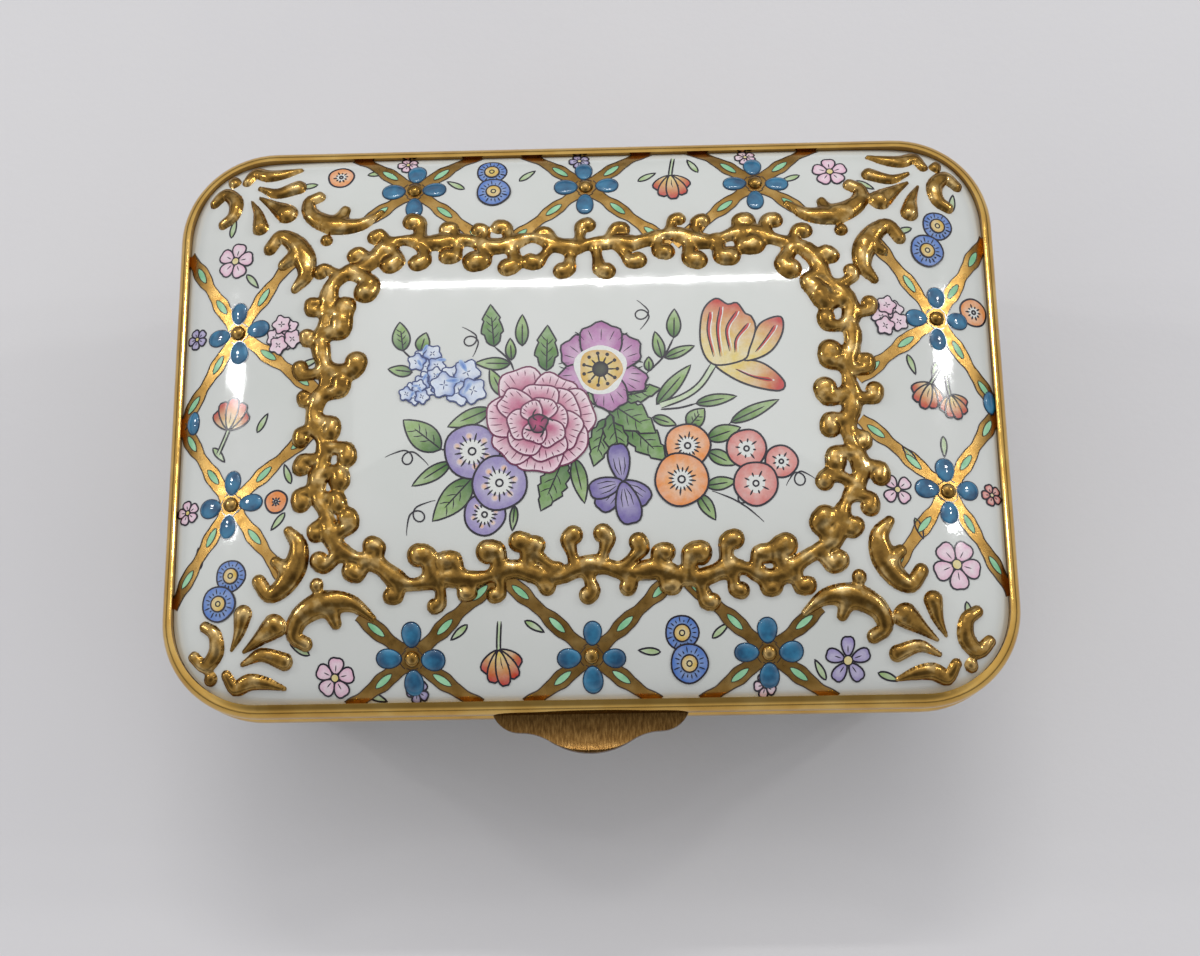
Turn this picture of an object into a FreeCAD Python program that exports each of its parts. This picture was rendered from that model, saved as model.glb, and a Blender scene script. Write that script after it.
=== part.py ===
"""An oblong hinged pill box: a tapered bowl and a domed lid of enamelled copper, each in a gilt brass bezel.

The bezels meet at the parting plane. Five knuckles and a pin join them at the back, a bow-shaped thumb
piece stands out of the lid bezel at the front, and a collar in the base bezel locates the lid and holds it
shut with a small bead. Raised gilt paste and blue enamel drops lie on the dome. Millimetres, +Z up, -Y is
the front, and the origin is the centre of the underside.
"""

import FreeCAD, Part

import math
import os

from FreeCAD import Vector

# --- driving dimensions -------------------------------------------------------------------------------------
RIM_HALF_X = 32.0  # outermost half width of both bezels
RIM_HALF_Y = 22.6  # outermost half depth of both bezels
RIM_CORNER = 7.5  # plan radius of the bezels' corners
PARTING_Z = 18.7  # height of the plane where lid and base meet

# Lid bezel
LID_BEZEL_H = 2.45
LID_BEZEL_ROUND = 1.1
LIP_INSET = 0.9  # from the rim's outside to the wall of the seat that holds the plate
LEDGE_INSET = 1.7  # from the rim's outside to the bezel's inner wall
LIP_ROUND = 0.25
SEAT_Z = PARTING_Z + 1.2

# Domed plate: painted enamel outside, copper core, plain enamel inside
DOME_EDGE_Z = 20.65
DOME_RISE = 4.4
DOME_SHOULDER = 0.4  # extra rise of the steep edge
DOME_SHOULDER_W = 0.8
DOME_POWER = 2.5
DOME_CORNER_POWER = 7.3  # how square the dome's level curves are
OUTER_ENAMEL_T = 0.35
COPPER_T = 0.6
INNER_ENAMEL_T = 0.25
CEMENT_GAP = 0.02

# Base bezel, collar and bowl
BASE_BEZEL_H = 2.2
BASE_BEZEL_ROUND = 1.0
SKIRT_INSET = 0.95
LAND_T = 1.1
BOWL_INSET = 1.0
BOWL_CORNER = 6.5
BOWL_TAPER_IN = 2.6  # how far the wall leans in from its top edge to the floor
BOWL_FOOT_ROUND = 3.2
COLLAR_OUT_INSET = 1.8
COLLAR_IN_INSET = 2.5
COLLAR_H = 1.1

# Hinge
HINGE_Y = 22.4
HINGE_Z = PARTING_Z - 0.3
KNUCKLE_R = 0.8
KNUCKLE_BORE_R = 0.42
PIN_R = 0.38
HINGE_LENGTH = 30.0
KNUCKLE_COUNT = 5
KNUCKLE_GAP = 0.1
SWEEP_CLEARANCE = 0.12  # room in a bezel round the other bezel's knuckles

# Thumb piece and catch
THUMB_REACH = 2.85
THUMB_NOSE_R = 5.45
THUMB_NOSE_HALF_W = 3.0
THUMB_HOLLOW_R = 4.0
THUMB_SHOULDER_R = 2.2
THUMB_ROOT = 1.4  # how far the blank runs in under the rim before it is cut to the bezel
THUMB_Z0 = PARTING_Z + 0.12
THUMB_T = 1.15
THUMB_EDGE_ROUND = 0.3
SCOOP_R = 5.0
SCOOP_DEPTH = 0.3
CATCH_HALF_W = 3.0
CATCH_R = 0.3
CATCH_PROUD = 0.16
CATCH_Z = PARTING_Z + 0.55

# Raised decoration on the dome
RELIEF_H = 0.45
BEAD_R = 0.55
FRAME_HALF_X = 19.9
FRAME_HALF_Y = 13.5
FRAME_BAND = 1.5
FRAME_CORNER = 4.6  # length cut off each side at a corner
FRAME_WAIST = 0.5  # how far each side bows inwards
SIDE_CROSSING_X = 26.7
SIDE_CROSSING_Y = 6.8
END_CROSSING_X = 13.2
END_CROSSING_Y = 18.5
INNER_DOT = (19.45, 13.7)
OUTER_DOT = (27.45, 19.85)
PETAL_LONG_R = 1.0
PETAL_SHORT_R = 0.68
PETAL_OFFSET = 1.75
DROP_H = 0.28
FAN_CENTRE = (26.6, 18.6)  # where the corner's drops point from
FAN_HUB = 0.6  # their distance from it
DROP_FAN = [(195, 3.3, 0.62), (228, 3.6, 0.75), (260, 3.3, 0.62)]  # direction in degrees, length, radius

PLATE_HALF_X = RIM_HALF_X - LIP_INSET
PLATE_HALF_Y = RIM_HALF_Y - LIP_INSET
PLATE_T = OUTER_ENAMEL_T + COPPER_T + INNER_ENAMEL_T
QUARTERS = [(1, 1), (-1, 1), (-1, -1), (1, -1)]
OUT_DIR = "parts"


# --- shared shapes ------------------------------------------------------------------------------------------
def rounded_wire(half_x, half_y, radius, z):
    """Closed rectangle with arcs at its corners."""
    dx, dy, s = half_x - radius, half_y - radius, radius * math.sqrt(0.5)
    corners = [(dx, dy, 0), (-dx, dy, 1), (-dx, -dy, 2), (dx, -dy, 3)]
    edges = []
    for i, (cx, cy, quarter) in enumerate(corners):
        turn = quarter * math.pi / 2
        point = lambda r, a: Vector(cx + r * math.cos(turn + a), cy + r * math.sin(turn + a), z)
        start, middle, end = point(radius, 0), point(radius, math.pi / 4), point(radius, math.pi / 2)
        edges.append(Part.Arc(start, middle, end).toShape())
        nx, ny, next_quarter = corners[(i + 1) % 4]
        next_turn = next_quarter * math.pi / 2
        following = Vector(nx + radius * math.cos(next_turn), ny + radius * math.sin(next_turn), z)
        edges.append(Part.LineSegment(end, following).toShape())
    return Part.Wire(edges)


def chain(start, steps):
    """Closed wire through (middle, end) steps: an arc where middle is a point, a line where it is None."""
    edges = []
    for middle, end in steps:
        curve = Part.Arc(start, middle, end) if middle else Part.LineSegment(start, end)
        edges.append(curve.toShape())
        start = end
    return Part.Wire(edges)


def rim_prism(inset, z0, z1):
    """Upright block whose plan is the rim's outline moved in by inset."""
    wire = rounded_wire(RIM_HALF_X - inset, RIM_HALF_Y - inset, RIM_CORNER - inset, z0)
    return Part.Face(wire).extrude(Vector(0, 0, z1 - z0))


def edges_at(shape, z, inset=None):
    """The edges of shape that lie at height z and, if inset is given, on the rim's outline moved in by it."""
    found = []
    for edge in shape.Edges:
        box = edge.BoundBox
        if abs(box.ZMin - z) > 1e-4 or abs(box.ZMax - z) > 1e-4:
            continue
        on_outline = inset is None or reaches_outline(edge, inset)
        if on_outline:
            found.append(edge)
    return found


def reaches_outline(edge, inset):
    """True if the edge's middle is on the rim's outline moved in by inset."""
    point = edge.valueAt((edge.FirstParameter + edge.LastParameter) / 2)
    half_x, half_y, radius = RIM_HALF_X - inset, RIM_HALF_Y - inset, RIM_CORNER - inset
    qx, qy = abs(point.x) - (half_x - radius), abs(point.y) - (half_y - radius)
    outside = math.hypot(max(qx, 0), max(qy, 0)) + min(max(qx, qy), 0) - radius
    return abs(outside) < 1e-3


def x_cylinder(radius, y, z, x0, x1):
    return Part.makeCylinder(radius, x1 - x0, Vector(x0, y, z), Vector(1, 0, 0))


# --- the dome -----------------------------------------------------------------------------------------------
def dome_z(x, y):
    """Height of the plate's outer face. Its level curves are rectangles with soft corners."""
    reach = PLATE_HALF_Y
    tx = max(abs(x) - (PLATE_HALF_X - reach), 0) / reach
    ty = abs(y) / reach
    t = (tx**DOME_CORNER_POWER + ty**DOME_CORNER_POWER) ** (1 / DOME_CORNER_POWER)
    shoulder = DOME_SHOULDER * math.tanh((1 - t) * reach / DOME_SHOULDER_W)
    return DOME_EDGE_Z + DOME_RISE * (1 - t**DOME_POWER) + shoulder


def dome_normal(x, y):
    step = 0.01
    slope_x = (dome_z(x + step, y) - dome_z(x - step, y)) / (2 * step)
    slope_y = (dome_z(x, y + step) - dome_z(x, y - step)) / (2 * step)
    return Vector(-slope_x, -slope_y, 1).normalize()


def on_dome(x, y, sink=0.0):
    return Vector(x, y, dome_z(x, y)) - dome_normal(x, y) * sink


def grid_lines(half, count, overrun=2.0):
    """Positions from -half to half and a little past, closer together towards the ends."""
    sweep = 0.45 * math.pi
    turns = [sweep * (2 * i / (count - 1) - 1) for i in range(count)]
    return [(half + overrun) * math.sin(turn) / math.sin(sweep) for turn in turns]


def under_dome(depth):
    """Everything below the dome's outer face moved in by depth along its normal."""
    columns = grid_lines(PLATE_HALF_Y, 37)
    rows = []
    for x in grid_lines(PLATE_HALF_X, 47):
        rows.append([on_dome(x, y, depth) for y in columns])
    surface = Part.BSplineSurface()
    surface.interpolate(rows)
    return surface.toShape().extrude(Vector(0, 0, -14))


# --- lid ----------------------------------------------------------------------------------------------------
def hinge_spans():
    """(x0, x1, belongs to the lid) of each knuckle, from left to right."""
    pitch = HINGE_LENGTH / KNUCKLE_COUNT
    spans = []
    for i in range(KNUCKLE_COUNT):
        x0 = -HINGE_LENGTH / 2 + i * pitch
        spans.append((x0 + KNUCKLE_GAP / 2, x0 + pitch - KNUCKLE_GAP / 2, i % 2 == 1))
    return spans


def hinge_notch(for_lid):
    """What a bezel gives up to the hinge: a snug seat at its own knuckles and running room at the other's."""
    cuts = []
    for x0, x1, of_lid in hinge_spans():
        snug = of_lid == for_lid
        radius = KNUCKLE_R if snug else KNUCKLE_R + SWEEP_CLEARANCE
        spare = 0 if snug else KNUCKLE_GAP
        cuts.append(x_cylinder(radius, HINGE_Y, HINGE_Z, x0 - spare, x1 + spare))
    return cuts


def knuckles(for_lid):
    tubes = []
    for x0, x1, of_lid in hinge_spans():
        if of_lid == for_lid:
            tube = x_cylinder(KNUCKLE_R, HINGE_Y, HINGE_Z, x0, x1)
            tubes.append(tube.cut(x_cylinder(KNUCKLE_BORE_R, HINGE_Y, HINGE_Z, x0 - 1, x1 + 1)))
    return Part.Compound(tubes)


def hinge_pin():
    """A plain wire, flush with the outer ends of the end knuckles."""
    reach = (HINGE_LENGTH - KNUCKLE_GAP) / 2
    return x_cylinder(PIN_R, HINGE_Y, HINGE_Z, -reach, reach)


def lid_bezel():
    top = PARTING_Z + LID_BEZEL_H
    ring = rim_prism(0, PARTING_Z, top)
    ring = ring.makeFillet(LID_BEZEL_ROUND, edges_at(ring, PARTING_Z) + edges_at(ring, top))
    ring = ring.cut(rim_prism(LIP_INSET, SEAT_Z, top + 1)).cut(rim_prism(LEDGE_INSET, PARTING_Z - 1, top))
    for notch in hinge_notch(for_lid=True):
        ring = ring.cut(notch)
    groove = x_cylinder(CATCH_R + 0.08, catch_y(), CATCH_Z, -CATCH_HALF_W - 0.5, CATCH_HALF_W + 0.5)
    return ring.cut(groove)


def plate_block():
    inset = LIP_INSET + CEMENT_GAP
    return rim_prism(inset, SEAT_Z + CEMENT_GAP, SEAT_Z + 10)


def lid_layers():
    """The plate's three layers, from the outside in."""
    depths = [0, OUTER_ENAMEL_T, OUTER_ENAMEL_T + COPPER_T, PLATE_T]
    bodies = [under_dome(depth).common(plate_block()) for depth in depths]
    return [upper.cut(lower) for upper, lower in zip(bodies, bodies[1:])]


def bow_outline():
    """The thumb piece in plan: a round nose, a hollow each side and round shoulders, all tangent."""
    nose_turn = math.asin(THUMB_NOSE_HALF_W / THUMB_NOSE_R)
    nose_y = THUMB_REACH - THUMB_NOSE_R
    hollow_x = (THUMB_NOSE_R + THUMB_HOLLOW_R) * math.sin(nose_turn)
    hollow_y = nose_y + (THUMB_NOSE_R + THUMB_HOLLOW_R) * math.cos(nose_turn)
    shoulder_y = hollow_y - THUMB_HOLLOW_R - THUMB_SHOULDER_R
    heel_turn = math.acos(-shoulder_y / THUMB_SHOULDER_R)

    def at(side, x, out):
        return Vector(side * x, -RIM_HALF_Y - out, THUMB_Z0)

    def nose(side):
        return at(side, THUMB_NOSE_HALF_W, nose_y + THUMB_NOSE_R * math.cos(nose_turn))

    def hollow(side):
        reach = hollow_x - THUMB_HOLLOW_R * math.sin(nose_turn / 2)
        return at(side, reach, hollow_y - THUMB_HOLLOW_R * math.cos(nose_turn / 2))

    def shoulder(side, turn):
        reach = hollow_x + THUMB_SHOULDER_R * math.sin(turn)
        return at(side, reach, shoulder_y + THUMB_SHOULDER_R * math.cos(turn))

    heel_x = shoulder(1, heel_turn).x
    steps = [
        (shoulder(-1, heel_turn / 2), shoulder(-1, 0)),
        (hollow(-1), nose(-1)),
        (at(1, 0, THUMB_REACH), nose(1)),
        (hollow(1), shoulder(1, 0)),
        (shoulder(1, heel_turn / 2), shoulder(1, heel_turn)),
        (None, at(1, heel_x, -THUMB_ROOT)),
        (None, at(-1, heel_x, -THUMB_ROOT)),
        (None, shoulder(-1, heel_turn)),
    ]
    return chain(shoulder(-1, heel_turn), steps)


def thumb_piece(bezel_envelope):
    """The bow as a plate with softened edges and a shallow scoop for the thumb, cut to fit the bezel."""
    blank = Part.Face(bow_outline()).extrude(Vector(0, 0, THUMB_T))
    rims = edges_at(blank, THUMB_Z0) + edges_at(blank, THUMB_Z0 + THUMB_T)
    outer = [edge for edge in rims if edge.BoundBox.YMax < 1e-6 - RIM_HALF_Y]
    blank = blank.makeFillet(THUMB_EDGE_ROUND, outer)
    scoop_z = THUMB_Z0 + THUMB_T + SCOOP_R - SCOOP_DEPTH
    blank = blank.cut(x_cylinder(SCOOP_R, -RIM_HALF_Y - 1.0, scoop_z, -20, 20))
    return blank.cut(bezel_envelope)


# --- base ---------------------------------------------------------------------------------------------------
def base_bezel():
    bottom = PARTING_Z - BASE_BEZEL_H
    ring = rim_prism(0, bottom, PARTING_Z)
    ring = ring.makeFillet(BASE_BEZEL_ROUND, edges_at(ring, bottom) + edges_at(ring, PARTING_Z))
    ring = ring.cut(rim_prism(SKIRT_INSET, bottom - 1, PARTING_Z - LAND_T))
    ring = ring.cut(rim_prism(COLLAR_IN_INSET, bottom - 1, PARTING_Z + 1))
    ring = ring.cut(rim_prism(COLLAR_OUT_INSET, PARTING_Z - LAND_T / 2, PARTING_Z + 1))
    for notch in hinge_notch(for_lid=False):
        ring = ring.cut(notch)
    return ring


def base_collar():
    """Upright strip let into the base bezel's land."""
    bottom = PARTING_Z - LAND_T / 2
    outer = rim_prism(COLLAR_OUT_INSET, bottom, PARTING_Z + COLLAR_H)
    ring = outer.cut(rim_prism(COLLAR_IN_INSET, bottom - 1, PARTING_Z + COLLAR_H + 1))
    top_outer = edges_at(ring, PARTING_Z + COLLAR_H, COLLAR_OUT_INSET)
    return ring.makeChamfer(0.2, top_outer)


def catch_y():
    """Where the catch bead's axis lies: inside the collar's front face, so that only its crown shows."""
    return -(RIM_HALF_Y - COLLAR_OUT_INSET) + CATCH_R - CATCH_PROUD


def catch_bead(collar):
    rod = x_cylinder(CATCH_R, catch_y(), CATCH_Z, -CATCH_HALF_W, CATCH_HALF_W)
    return rod.cut(collar).cut(rim_prism(COLLAR_IN_INSET, PARTING_Z - 2, PARTING_Z + 3))


def bowl_block(depth):
    """The bowl as a full block, with its wall and floor moved in by depth."""
    top = PARTING_Z - LAND_T
    lean = BOWL_TAPER_IN / top
    wall = depth * math.hypot(1, lean)  # plan distance between two leaning faces depth apart
    low_inset = BOWL_INSET + wall + BOWL_TAPER_IN - lean * depth
    high_inset = BOWL_INSET + wall
    low_corner = BOWL_CORNER - wall - BOWL_TAPER_IN + lean * depth
    low = rounded_wire(RIM_HALF_X - low_inset, RIM_HALF_Y - low_inset, low_corner, depth)
    high = rounded_wire(RIM_HALF_X - high_inset, RIM_HALF_Y - high_inset, BOWL_CORNER - wall, top)
    block = Part.makeLoft([low, high], True, True)
    return block.makeFillet(BOWL_FOOT_ROUND - depth, edges_at(block, depth))


def bowl_layers():
    """The bowl's three layers, from the outside in."""
    depths = [0, OUTER_ENAMEL_T, OUTER_ENAMEL_T + COPPER_T, PLATE_T]
    blocks = [bowl_block(depth) for depth in depths]
    return [outer.cut(inner) for outer, inner in zip(blocks, blocks[1:])]


# --- raised decoration --------------------------------------------------------------------------------------
def crossings():
    """Plan positions where the painted lattice's ribbons cross on the lid."""
    found = [(sx * SIDE_CROSSING_X, sy * SIDE_CROSSING_Y) for sx, sy in QUARTERS]
    found += [(column * END_CROSSING_X, side * END_CROSSING_Y) for side in (1, -1) for column in (-1, 0, 1)]
    return found


def gilt_beads(dome):
    """Half-sunk balls at the crossings and at the corners."""
    spots = crossings()
    spots += [(sx * px, sy * py) for px, py in (INNER_DOT, OUTER_DOT) for sx, sy in QUARTERS]
    return Part.Compound([Part.makeSphere(BEAD_R, on_dome(x, y, 0.12)).cut(dome) for x, y in spots])


def petal(x, y, turn):
    """An oval drop lying on the dome, its long axis turned in plan."""
    shape = Part.makeSphere(1.0)
    matrix = FreeCAD.Matrix()
    matrix.scale(PETAL_LONG_R, PETAL_SHORT_R, DROP_H)
    shape = shape.transformGeometry(matrix)
    shape.rotate(Vector(0, 0, 0), Vector(0, 0, 1), turn)
    tilt = FreeCAD.Rotation(Vector(0, 0, 1), dome_normal(x, y))
    shape.Placement = FreeCAD.Placement(on_dome(x, y), tilt).multiply(shape.Placement)
    return shape


def blue_petals(dome):
    """Four blue enamel drops round each crossing."""
    drops = []
    for x, y in crossings():
        for turn in (0, 90, 180, 270):
            out_x = x + PETAL_OFFSET * math.cos(math.radians(turn))
            out_y = y + PETAL_OFFSET * math.sin(math.radians(turn))
            drops.append(petal(out_x, out_y, turn).cut(dome))
    return Part.Compound(drops)


def relief_layer(dome, height):
    """The space from the dome's face up to height above it."""
    return under_dome(-height).common(plate_block()).cut(dome)


def frame_block(grow):
    """Upright block inside the frame's outline moved out by grow, with bowed sides and hollow corners."""
    hx, hy, cut = FRAME_HALF_X + grow, FRAME_HALF_Y + grow, FRAME_CORNER
    hollow = 0.42 * cut

    def at(x, y):
        return Vector(x, y, SEAT_Z)

    outline = chain(
        at(hx, cut - hy),
        [
            (at(hx - FRAME_WAIST, 0), at(hx, hy - cut)),
            (at(hx - hollow, hy - hollow), at(hx - cut, hy)),
            (at(0, hy - FRAME_WAIST), at(cut - hx, hy)),
            (at(hollow - hx, hy - hollow), at(-hx, hy - cut)),
            (at(FRAME_WAIST - hx, 0), at(-hx, cut - hy)),
            (at(hollow - hx, hollow - hy), at(cut - hx, -hy)),
            (at(0, FRAME_WAIST - hy), at(hx - cut, -hy)),
            (at(hx - hollow, hollow - hy), at(hx, cut - hy)),
        ],
    )
    return Part.Face(outline).extrude(Vector(0, 0, 10))


def gilt_frame(layer):
    """The raised scroll frame's plain core: a band round the flat of the lid."""
    return frame_block(FRAME_BAND / 2).cut(frame_block(-FRAME_BAND / 2)).common(layer)


def drop_prism(x, y, turn, length, radius):
    """A tear shape in plan, pointed at (x, y) and round at its far end, as an upright block."""
    along_x, along_y = math.cos(turn), math.sin(turn)

    def at(along, across):
        return Vector(x + along * along_x - across * along_y, y + along * along_y + across * along_x, SEAT_Z)

    shoulder, point_half = length - radius, 0.15
    outline = chain(
        at(0, -point_half),
        [
            (None, at(shoulder, -radius)),
            (at(length, 0), at(shoulder, radius)),
            (None, at(0, point_half)),
            (None, at(0, -point_half)),
        ],
    )
    return Part.Face(outline).extrude(Vector(0, 0, 10))


def gilt_drops(layer):
    """Three raised tear drops that fan inwards at each corner."""
    drops = []
    for sx, sy in QUARTERS:
        for degrees, length, radius in DROP_FAN:
            turn = math.atan2(sy * math.sin(math.radians(degrees)), sx * math.cos(math.radians(degrees)))
            start_x = sx * FAN_CENTRE[0] + FAN_HUB * math.cos(turn)
            start_y = sy * FAN_CENTRE[1] + FAN_HUB * math.sin(turn)
            drops.append(drop_prism(start_x, start_y, turn, length, radius).common(layer))
    return Part.Compound(drops)


# --- all nodes ----------------------------------------------------------------------------------------------
def build():
    """Every node's shape by name."""
    nodes = {}
    nodes["lid_enamel_outer"], nodes["lid_copper"], nodes["lid_enamel_inner"] = lid_layers()
    nodes["lid_bezel"] = lid_bezel()
    envelope = rim_prism(0, PARTING_Z, PARTING_Z + LID_BEZEL_H)
    rims = edges_at(envelope, PARTING_Z) + edges_at(envelope, PARTING_Z + LID_BEZEL_H)
    nodes["thumb_piece"] = thumb_piece(envelope.makeFillet(LID_BEZEL_ROUND, rims))
    nodes["lid_hinge_knuckles"] = knuckles(for_lid=True)

    nodes["base_enamel_outer"], nodes["base_copper"], nodes["base_enamel_inner"] = bowl_layers()
    nodes["base_bezel"] = base_bezel()
    nodes["base_collar"] = base_collar()
    nodes["catch_bead"] = catch_bead(nodes["base_collar"])
    nodes["base_hinge_knuckles"] = knuckles(for_lid=False)
    nodes["hinge_pin"] = hinge_pin()

    dome = under_dome(0)
    layer = relief_layer(dome, RELIEF_H)
    nodes["gilt_beads"] = gilt_beads(dome)
    nodes["blue_petals"] = blue_petals(dome)
    nodes["gilt_frame"] = gilt_frame(layer)
    nodes["gilt_corner_drops"] = gilt_drops(layer)
    return nodes


def main():
    os.makedirs(OUT_DIR, exist_ok=True)
    for name, shape in build().items():
        solids = shape.Solids
        print(name, "solids", len(solids), "valid", shape.isValid(), "volume", round(shape.Volume, 2))
        target = solids[0] if len(solids) == 1 else Part.Compound(solids)
        target.exportStep(os.path.join(OUT_DIR, name + ".step"))


main()
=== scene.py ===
"""Looks of a gilt-mounted enamel pill box with a domed, painted lid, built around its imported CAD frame.

Plan places are in millimetres from the middle of the lid: x to the right, y to the back (the hinge side).
Painted colour is modelled as very thin closed deposits on the enamel, raised gilding as a modelled relief.
"""

import math

import bpy
import numpy as np
from mathutils import Euler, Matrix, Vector


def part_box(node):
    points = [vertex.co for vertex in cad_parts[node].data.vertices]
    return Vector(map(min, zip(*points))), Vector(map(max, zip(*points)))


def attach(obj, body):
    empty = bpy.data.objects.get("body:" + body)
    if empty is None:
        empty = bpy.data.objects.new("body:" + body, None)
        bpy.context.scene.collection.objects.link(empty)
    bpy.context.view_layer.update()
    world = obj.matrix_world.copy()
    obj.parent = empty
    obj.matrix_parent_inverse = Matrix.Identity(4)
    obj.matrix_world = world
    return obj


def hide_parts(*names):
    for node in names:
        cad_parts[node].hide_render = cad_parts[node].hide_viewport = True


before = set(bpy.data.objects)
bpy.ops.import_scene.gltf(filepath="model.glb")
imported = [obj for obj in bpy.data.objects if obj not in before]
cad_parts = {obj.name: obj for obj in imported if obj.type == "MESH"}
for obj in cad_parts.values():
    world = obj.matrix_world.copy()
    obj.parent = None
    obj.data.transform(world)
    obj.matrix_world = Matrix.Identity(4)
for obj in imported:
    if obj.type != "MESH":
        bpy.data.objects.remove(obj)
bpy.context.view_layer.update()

MM = 0.001

# --- sizes, in mm ---
plate_low, plate_high = (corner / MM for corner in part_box("lid_enamel_outer"))
bowl_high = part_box("base_enamel_outer")[1] / MM
PLATE_X = plate_high.x  # half width of the lid's enamelled plate
PLATE_Y = plate_high.y  # its half depth
PLATE_CORNER = 6.6
SEAT_Z = plate_low.z
DOME_EDGE_Z = 20.65
DOME_RISE = 4.4
DOME_SHOULDER = 0.4  # extra rise of the steep edge
DOME_SHOULDER_W = 0.8
DOME_POWER = 2.5  # how flat the dome is in its middle
DOME_CORNER_POWER = 7.3  # how square its level curves are
OUTER_ENAMEL_T = 0.35

BOWL_TOP = bowl_high.z
BOWL_X = bowl_high.x
BOWL_Y = bowl_high.y
BOWL_CORNER = 6.5
BOWL_TAPER_IN = 2.6  # how far the wall leans in from its top edge to the floor
BOWL_FOOT_ROUND = 3.2
BOWL_LEAN = BOWL_TAPER_IN / BOWL_TOP

FIRST_LIFT = 0.02  # height of the lowest paint above the enamel
GLAZE_LIFT = FIRST_LIFT + 0.02  # of the green lozenges, the beads and the petals' dark edges on the lid
EDGING_LIFT = FIRST_LIFT + 0.03  # of the brown lines along the trellis
PETAL_LIFT = FIRST_LIFT + 0.04
PAINT_SINK = 0.06  # depth its underside is buried
INK_W = 0.13  # width of the painter's ink line


# --- colours ---
def srgb(red, green, blue):
    """A colour given as 0 to 255 display values, as linear light."""
    parts = np.array([red, green, blue]) / 255
    return np.where(parts <= 0.04045, parts / 12.92, ((parts + 0.055) / 1.055) ** 2.4)


INK = srgb(38, 34, 44)
BROWN_INK = srgb(62, 44, 30)
PAPER = srgb(222, 224, 218)
LEAF_LIGHT = srgb(146, 178, 102)
LEAF_DARK = srgb(54, 102, 40)
LEAF_PALE = srgb(178, 200, 150)
LEAF_SHADED = srgb(118, 158, 84)
BLUE_INK = srgb(44, 60, 112)
BLUE_WHITE = srgb(216, 226, 238)
ROSE_DEEP = srgb(176, 50, 104)
ROSE_PALE = srgb(240, 212, 222)
ROSE_INK = srgb(104, 30, 70)
MAUVE = srgb(160, 92, 148)
MAUVE_PALE = srgb(198, 150, 190)
LILAC = srgb(138, 124, 178)
LILAC_PALE = srgb(182, 172, 206)
VIOLET = srgb(108, 94, 158)
YELLOW = srgb(222, 200, 106)
YELLOW_DEEP = srgb(206, 158, 48)
ORANGE = srgb(228, 134, 50)
ORANGE_PALE = srgb(238, 184, 128)
SALMON = srgb(206, 110, 104)
SALMON_PALE = srgb(232, 178, 166)
RED = srgb(188, 42, 40)
BLUE = srgb(70, 112, 188)
BLUE_PALE = srgb(150, 182, 222)
PINK = srgb(222, 164, 190)
PINK_PALE = srgb(236, 208, 220)
STAMEN_GREEN = srgb(70, 76, 58)
PETAL_INK = srgb(18, 40, 66)
NO_TINT = np.ones(3)  # for deposits whose material has its own colour


# --- surfaces ---
def dome_height(x, y):
    """Height of the lid's crowned face."""
    run = np.maximum(np.abs(x) - (PLATE_X - PLATE_Y), 0) / PLATE_Y
    across = np.abs(y) / PLATE_Y
    level = (run**DOME_CORNER_POWER + across**DOME_CORNER_POWER) ** (1 / DOME_CORNER_POWER)
    crown = DOME_RISE * (1 - level**DOME_POWER)
    return DOME_EDGE_Z + crown + DOME_SHOULDER * np.tanh((1 - level) * PLATE_Y / DOME_SHOULDER_W)


def on_dome(plan, lift):
    """Plan points carried to the lid's face and raised by lift along its normal."""
    x, y = plan[:, 0], plan[:, 1]
    reach = 0.02
    slope_x = (dome_height(x + reach, y) - dome_height(x - reach, y)) / (2 * reach)
    slope_y = (dome_height(x, y + reach) - dome_height(x, y - reach)) / (2 * reach)
    normal = np.column_stack([-slope_x, -slope_y, np.ones(len(x))])
    normal /= np.linalg.norm(normal, axis=1)[:, None]
    foot = np.column_stack([x, y, dome_height(x, y)])
    return foot + normal * np.broadcast_to(lift, len(x))[:, None]


def leftwards(vectors):
    """Plan vectors turned a quarter turn anticlockwise."""
    vectors = np.asarray(vectors, float)
    return np.stack([-vectors[..., 1], vectors[..., 0]], axis=-1)


def rounded_outline(half_x, half_y, corner, step=0.7, arc_steps=22):
    """Points of a rounded rectangle, anticlockwise from its right side, with the normal at each point."""
    points = []
    normals = []
    for quarter in range(4):
        sign_x, sign_y = [(1, 1), (-1, 1), (-1, -1), (1, -1)][quarter]
        centre = np.array([sign_x * (half_x - corner), sign_y * (half_y - corner)])
        for k in range(arc_steps + 1):
            angle = (quarter + k / arc_steps) * math.pi / 2
            normals.append((math.cos(angle), math.sin(angle)))
            points.append(centre + corner * np.array(normals[-1]))
        straight = (half_x - corner, half_y - corner)[quarter % 2] * 2
        count = int(straight / step)
        direction = leftwards(normals[-1])
        first = points[-1]
        for k in range(1, count):
            points.append(first + direction * straight * k / count)
            normals.append(normals[-1])
    return np.array(points), np.array(normals)


def bowl_profile(depth):
    """The bowl's section as (inset from its top outline, height) pairs from the floor up, depth inside."""
    lean_angle = math.atan(BOWL_LEAN)
    radius = BOWL_FOOT_ROUND - depth
    centre_in = BOWL_TAPER_IN + BOWL_FOOT_ROUND * (1 - math.sin(lean_angle)) / math.cos(lean_angle)
    pairs = []
    for k in range(13):
        angle = -math.pi / 2 + k / 12 * (math.pi / 2 - lean_angle)
        pairs.append((centre_in - radius * math.cos(angle), BOWL_FOOT_ROUND + radius * math.sin(angle)))
    foot_in, foot_z = pairs[-1]
    top_in = depth * math.hypot(1, BOWL_LEAN)
    for k in range(1, 9):
        share = k / 8
        pairs.append((foot_in + (top_in - foot_in) * share, foot_z + (BOWL_TOP - foot_z) * share))
    return pairs


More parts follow.
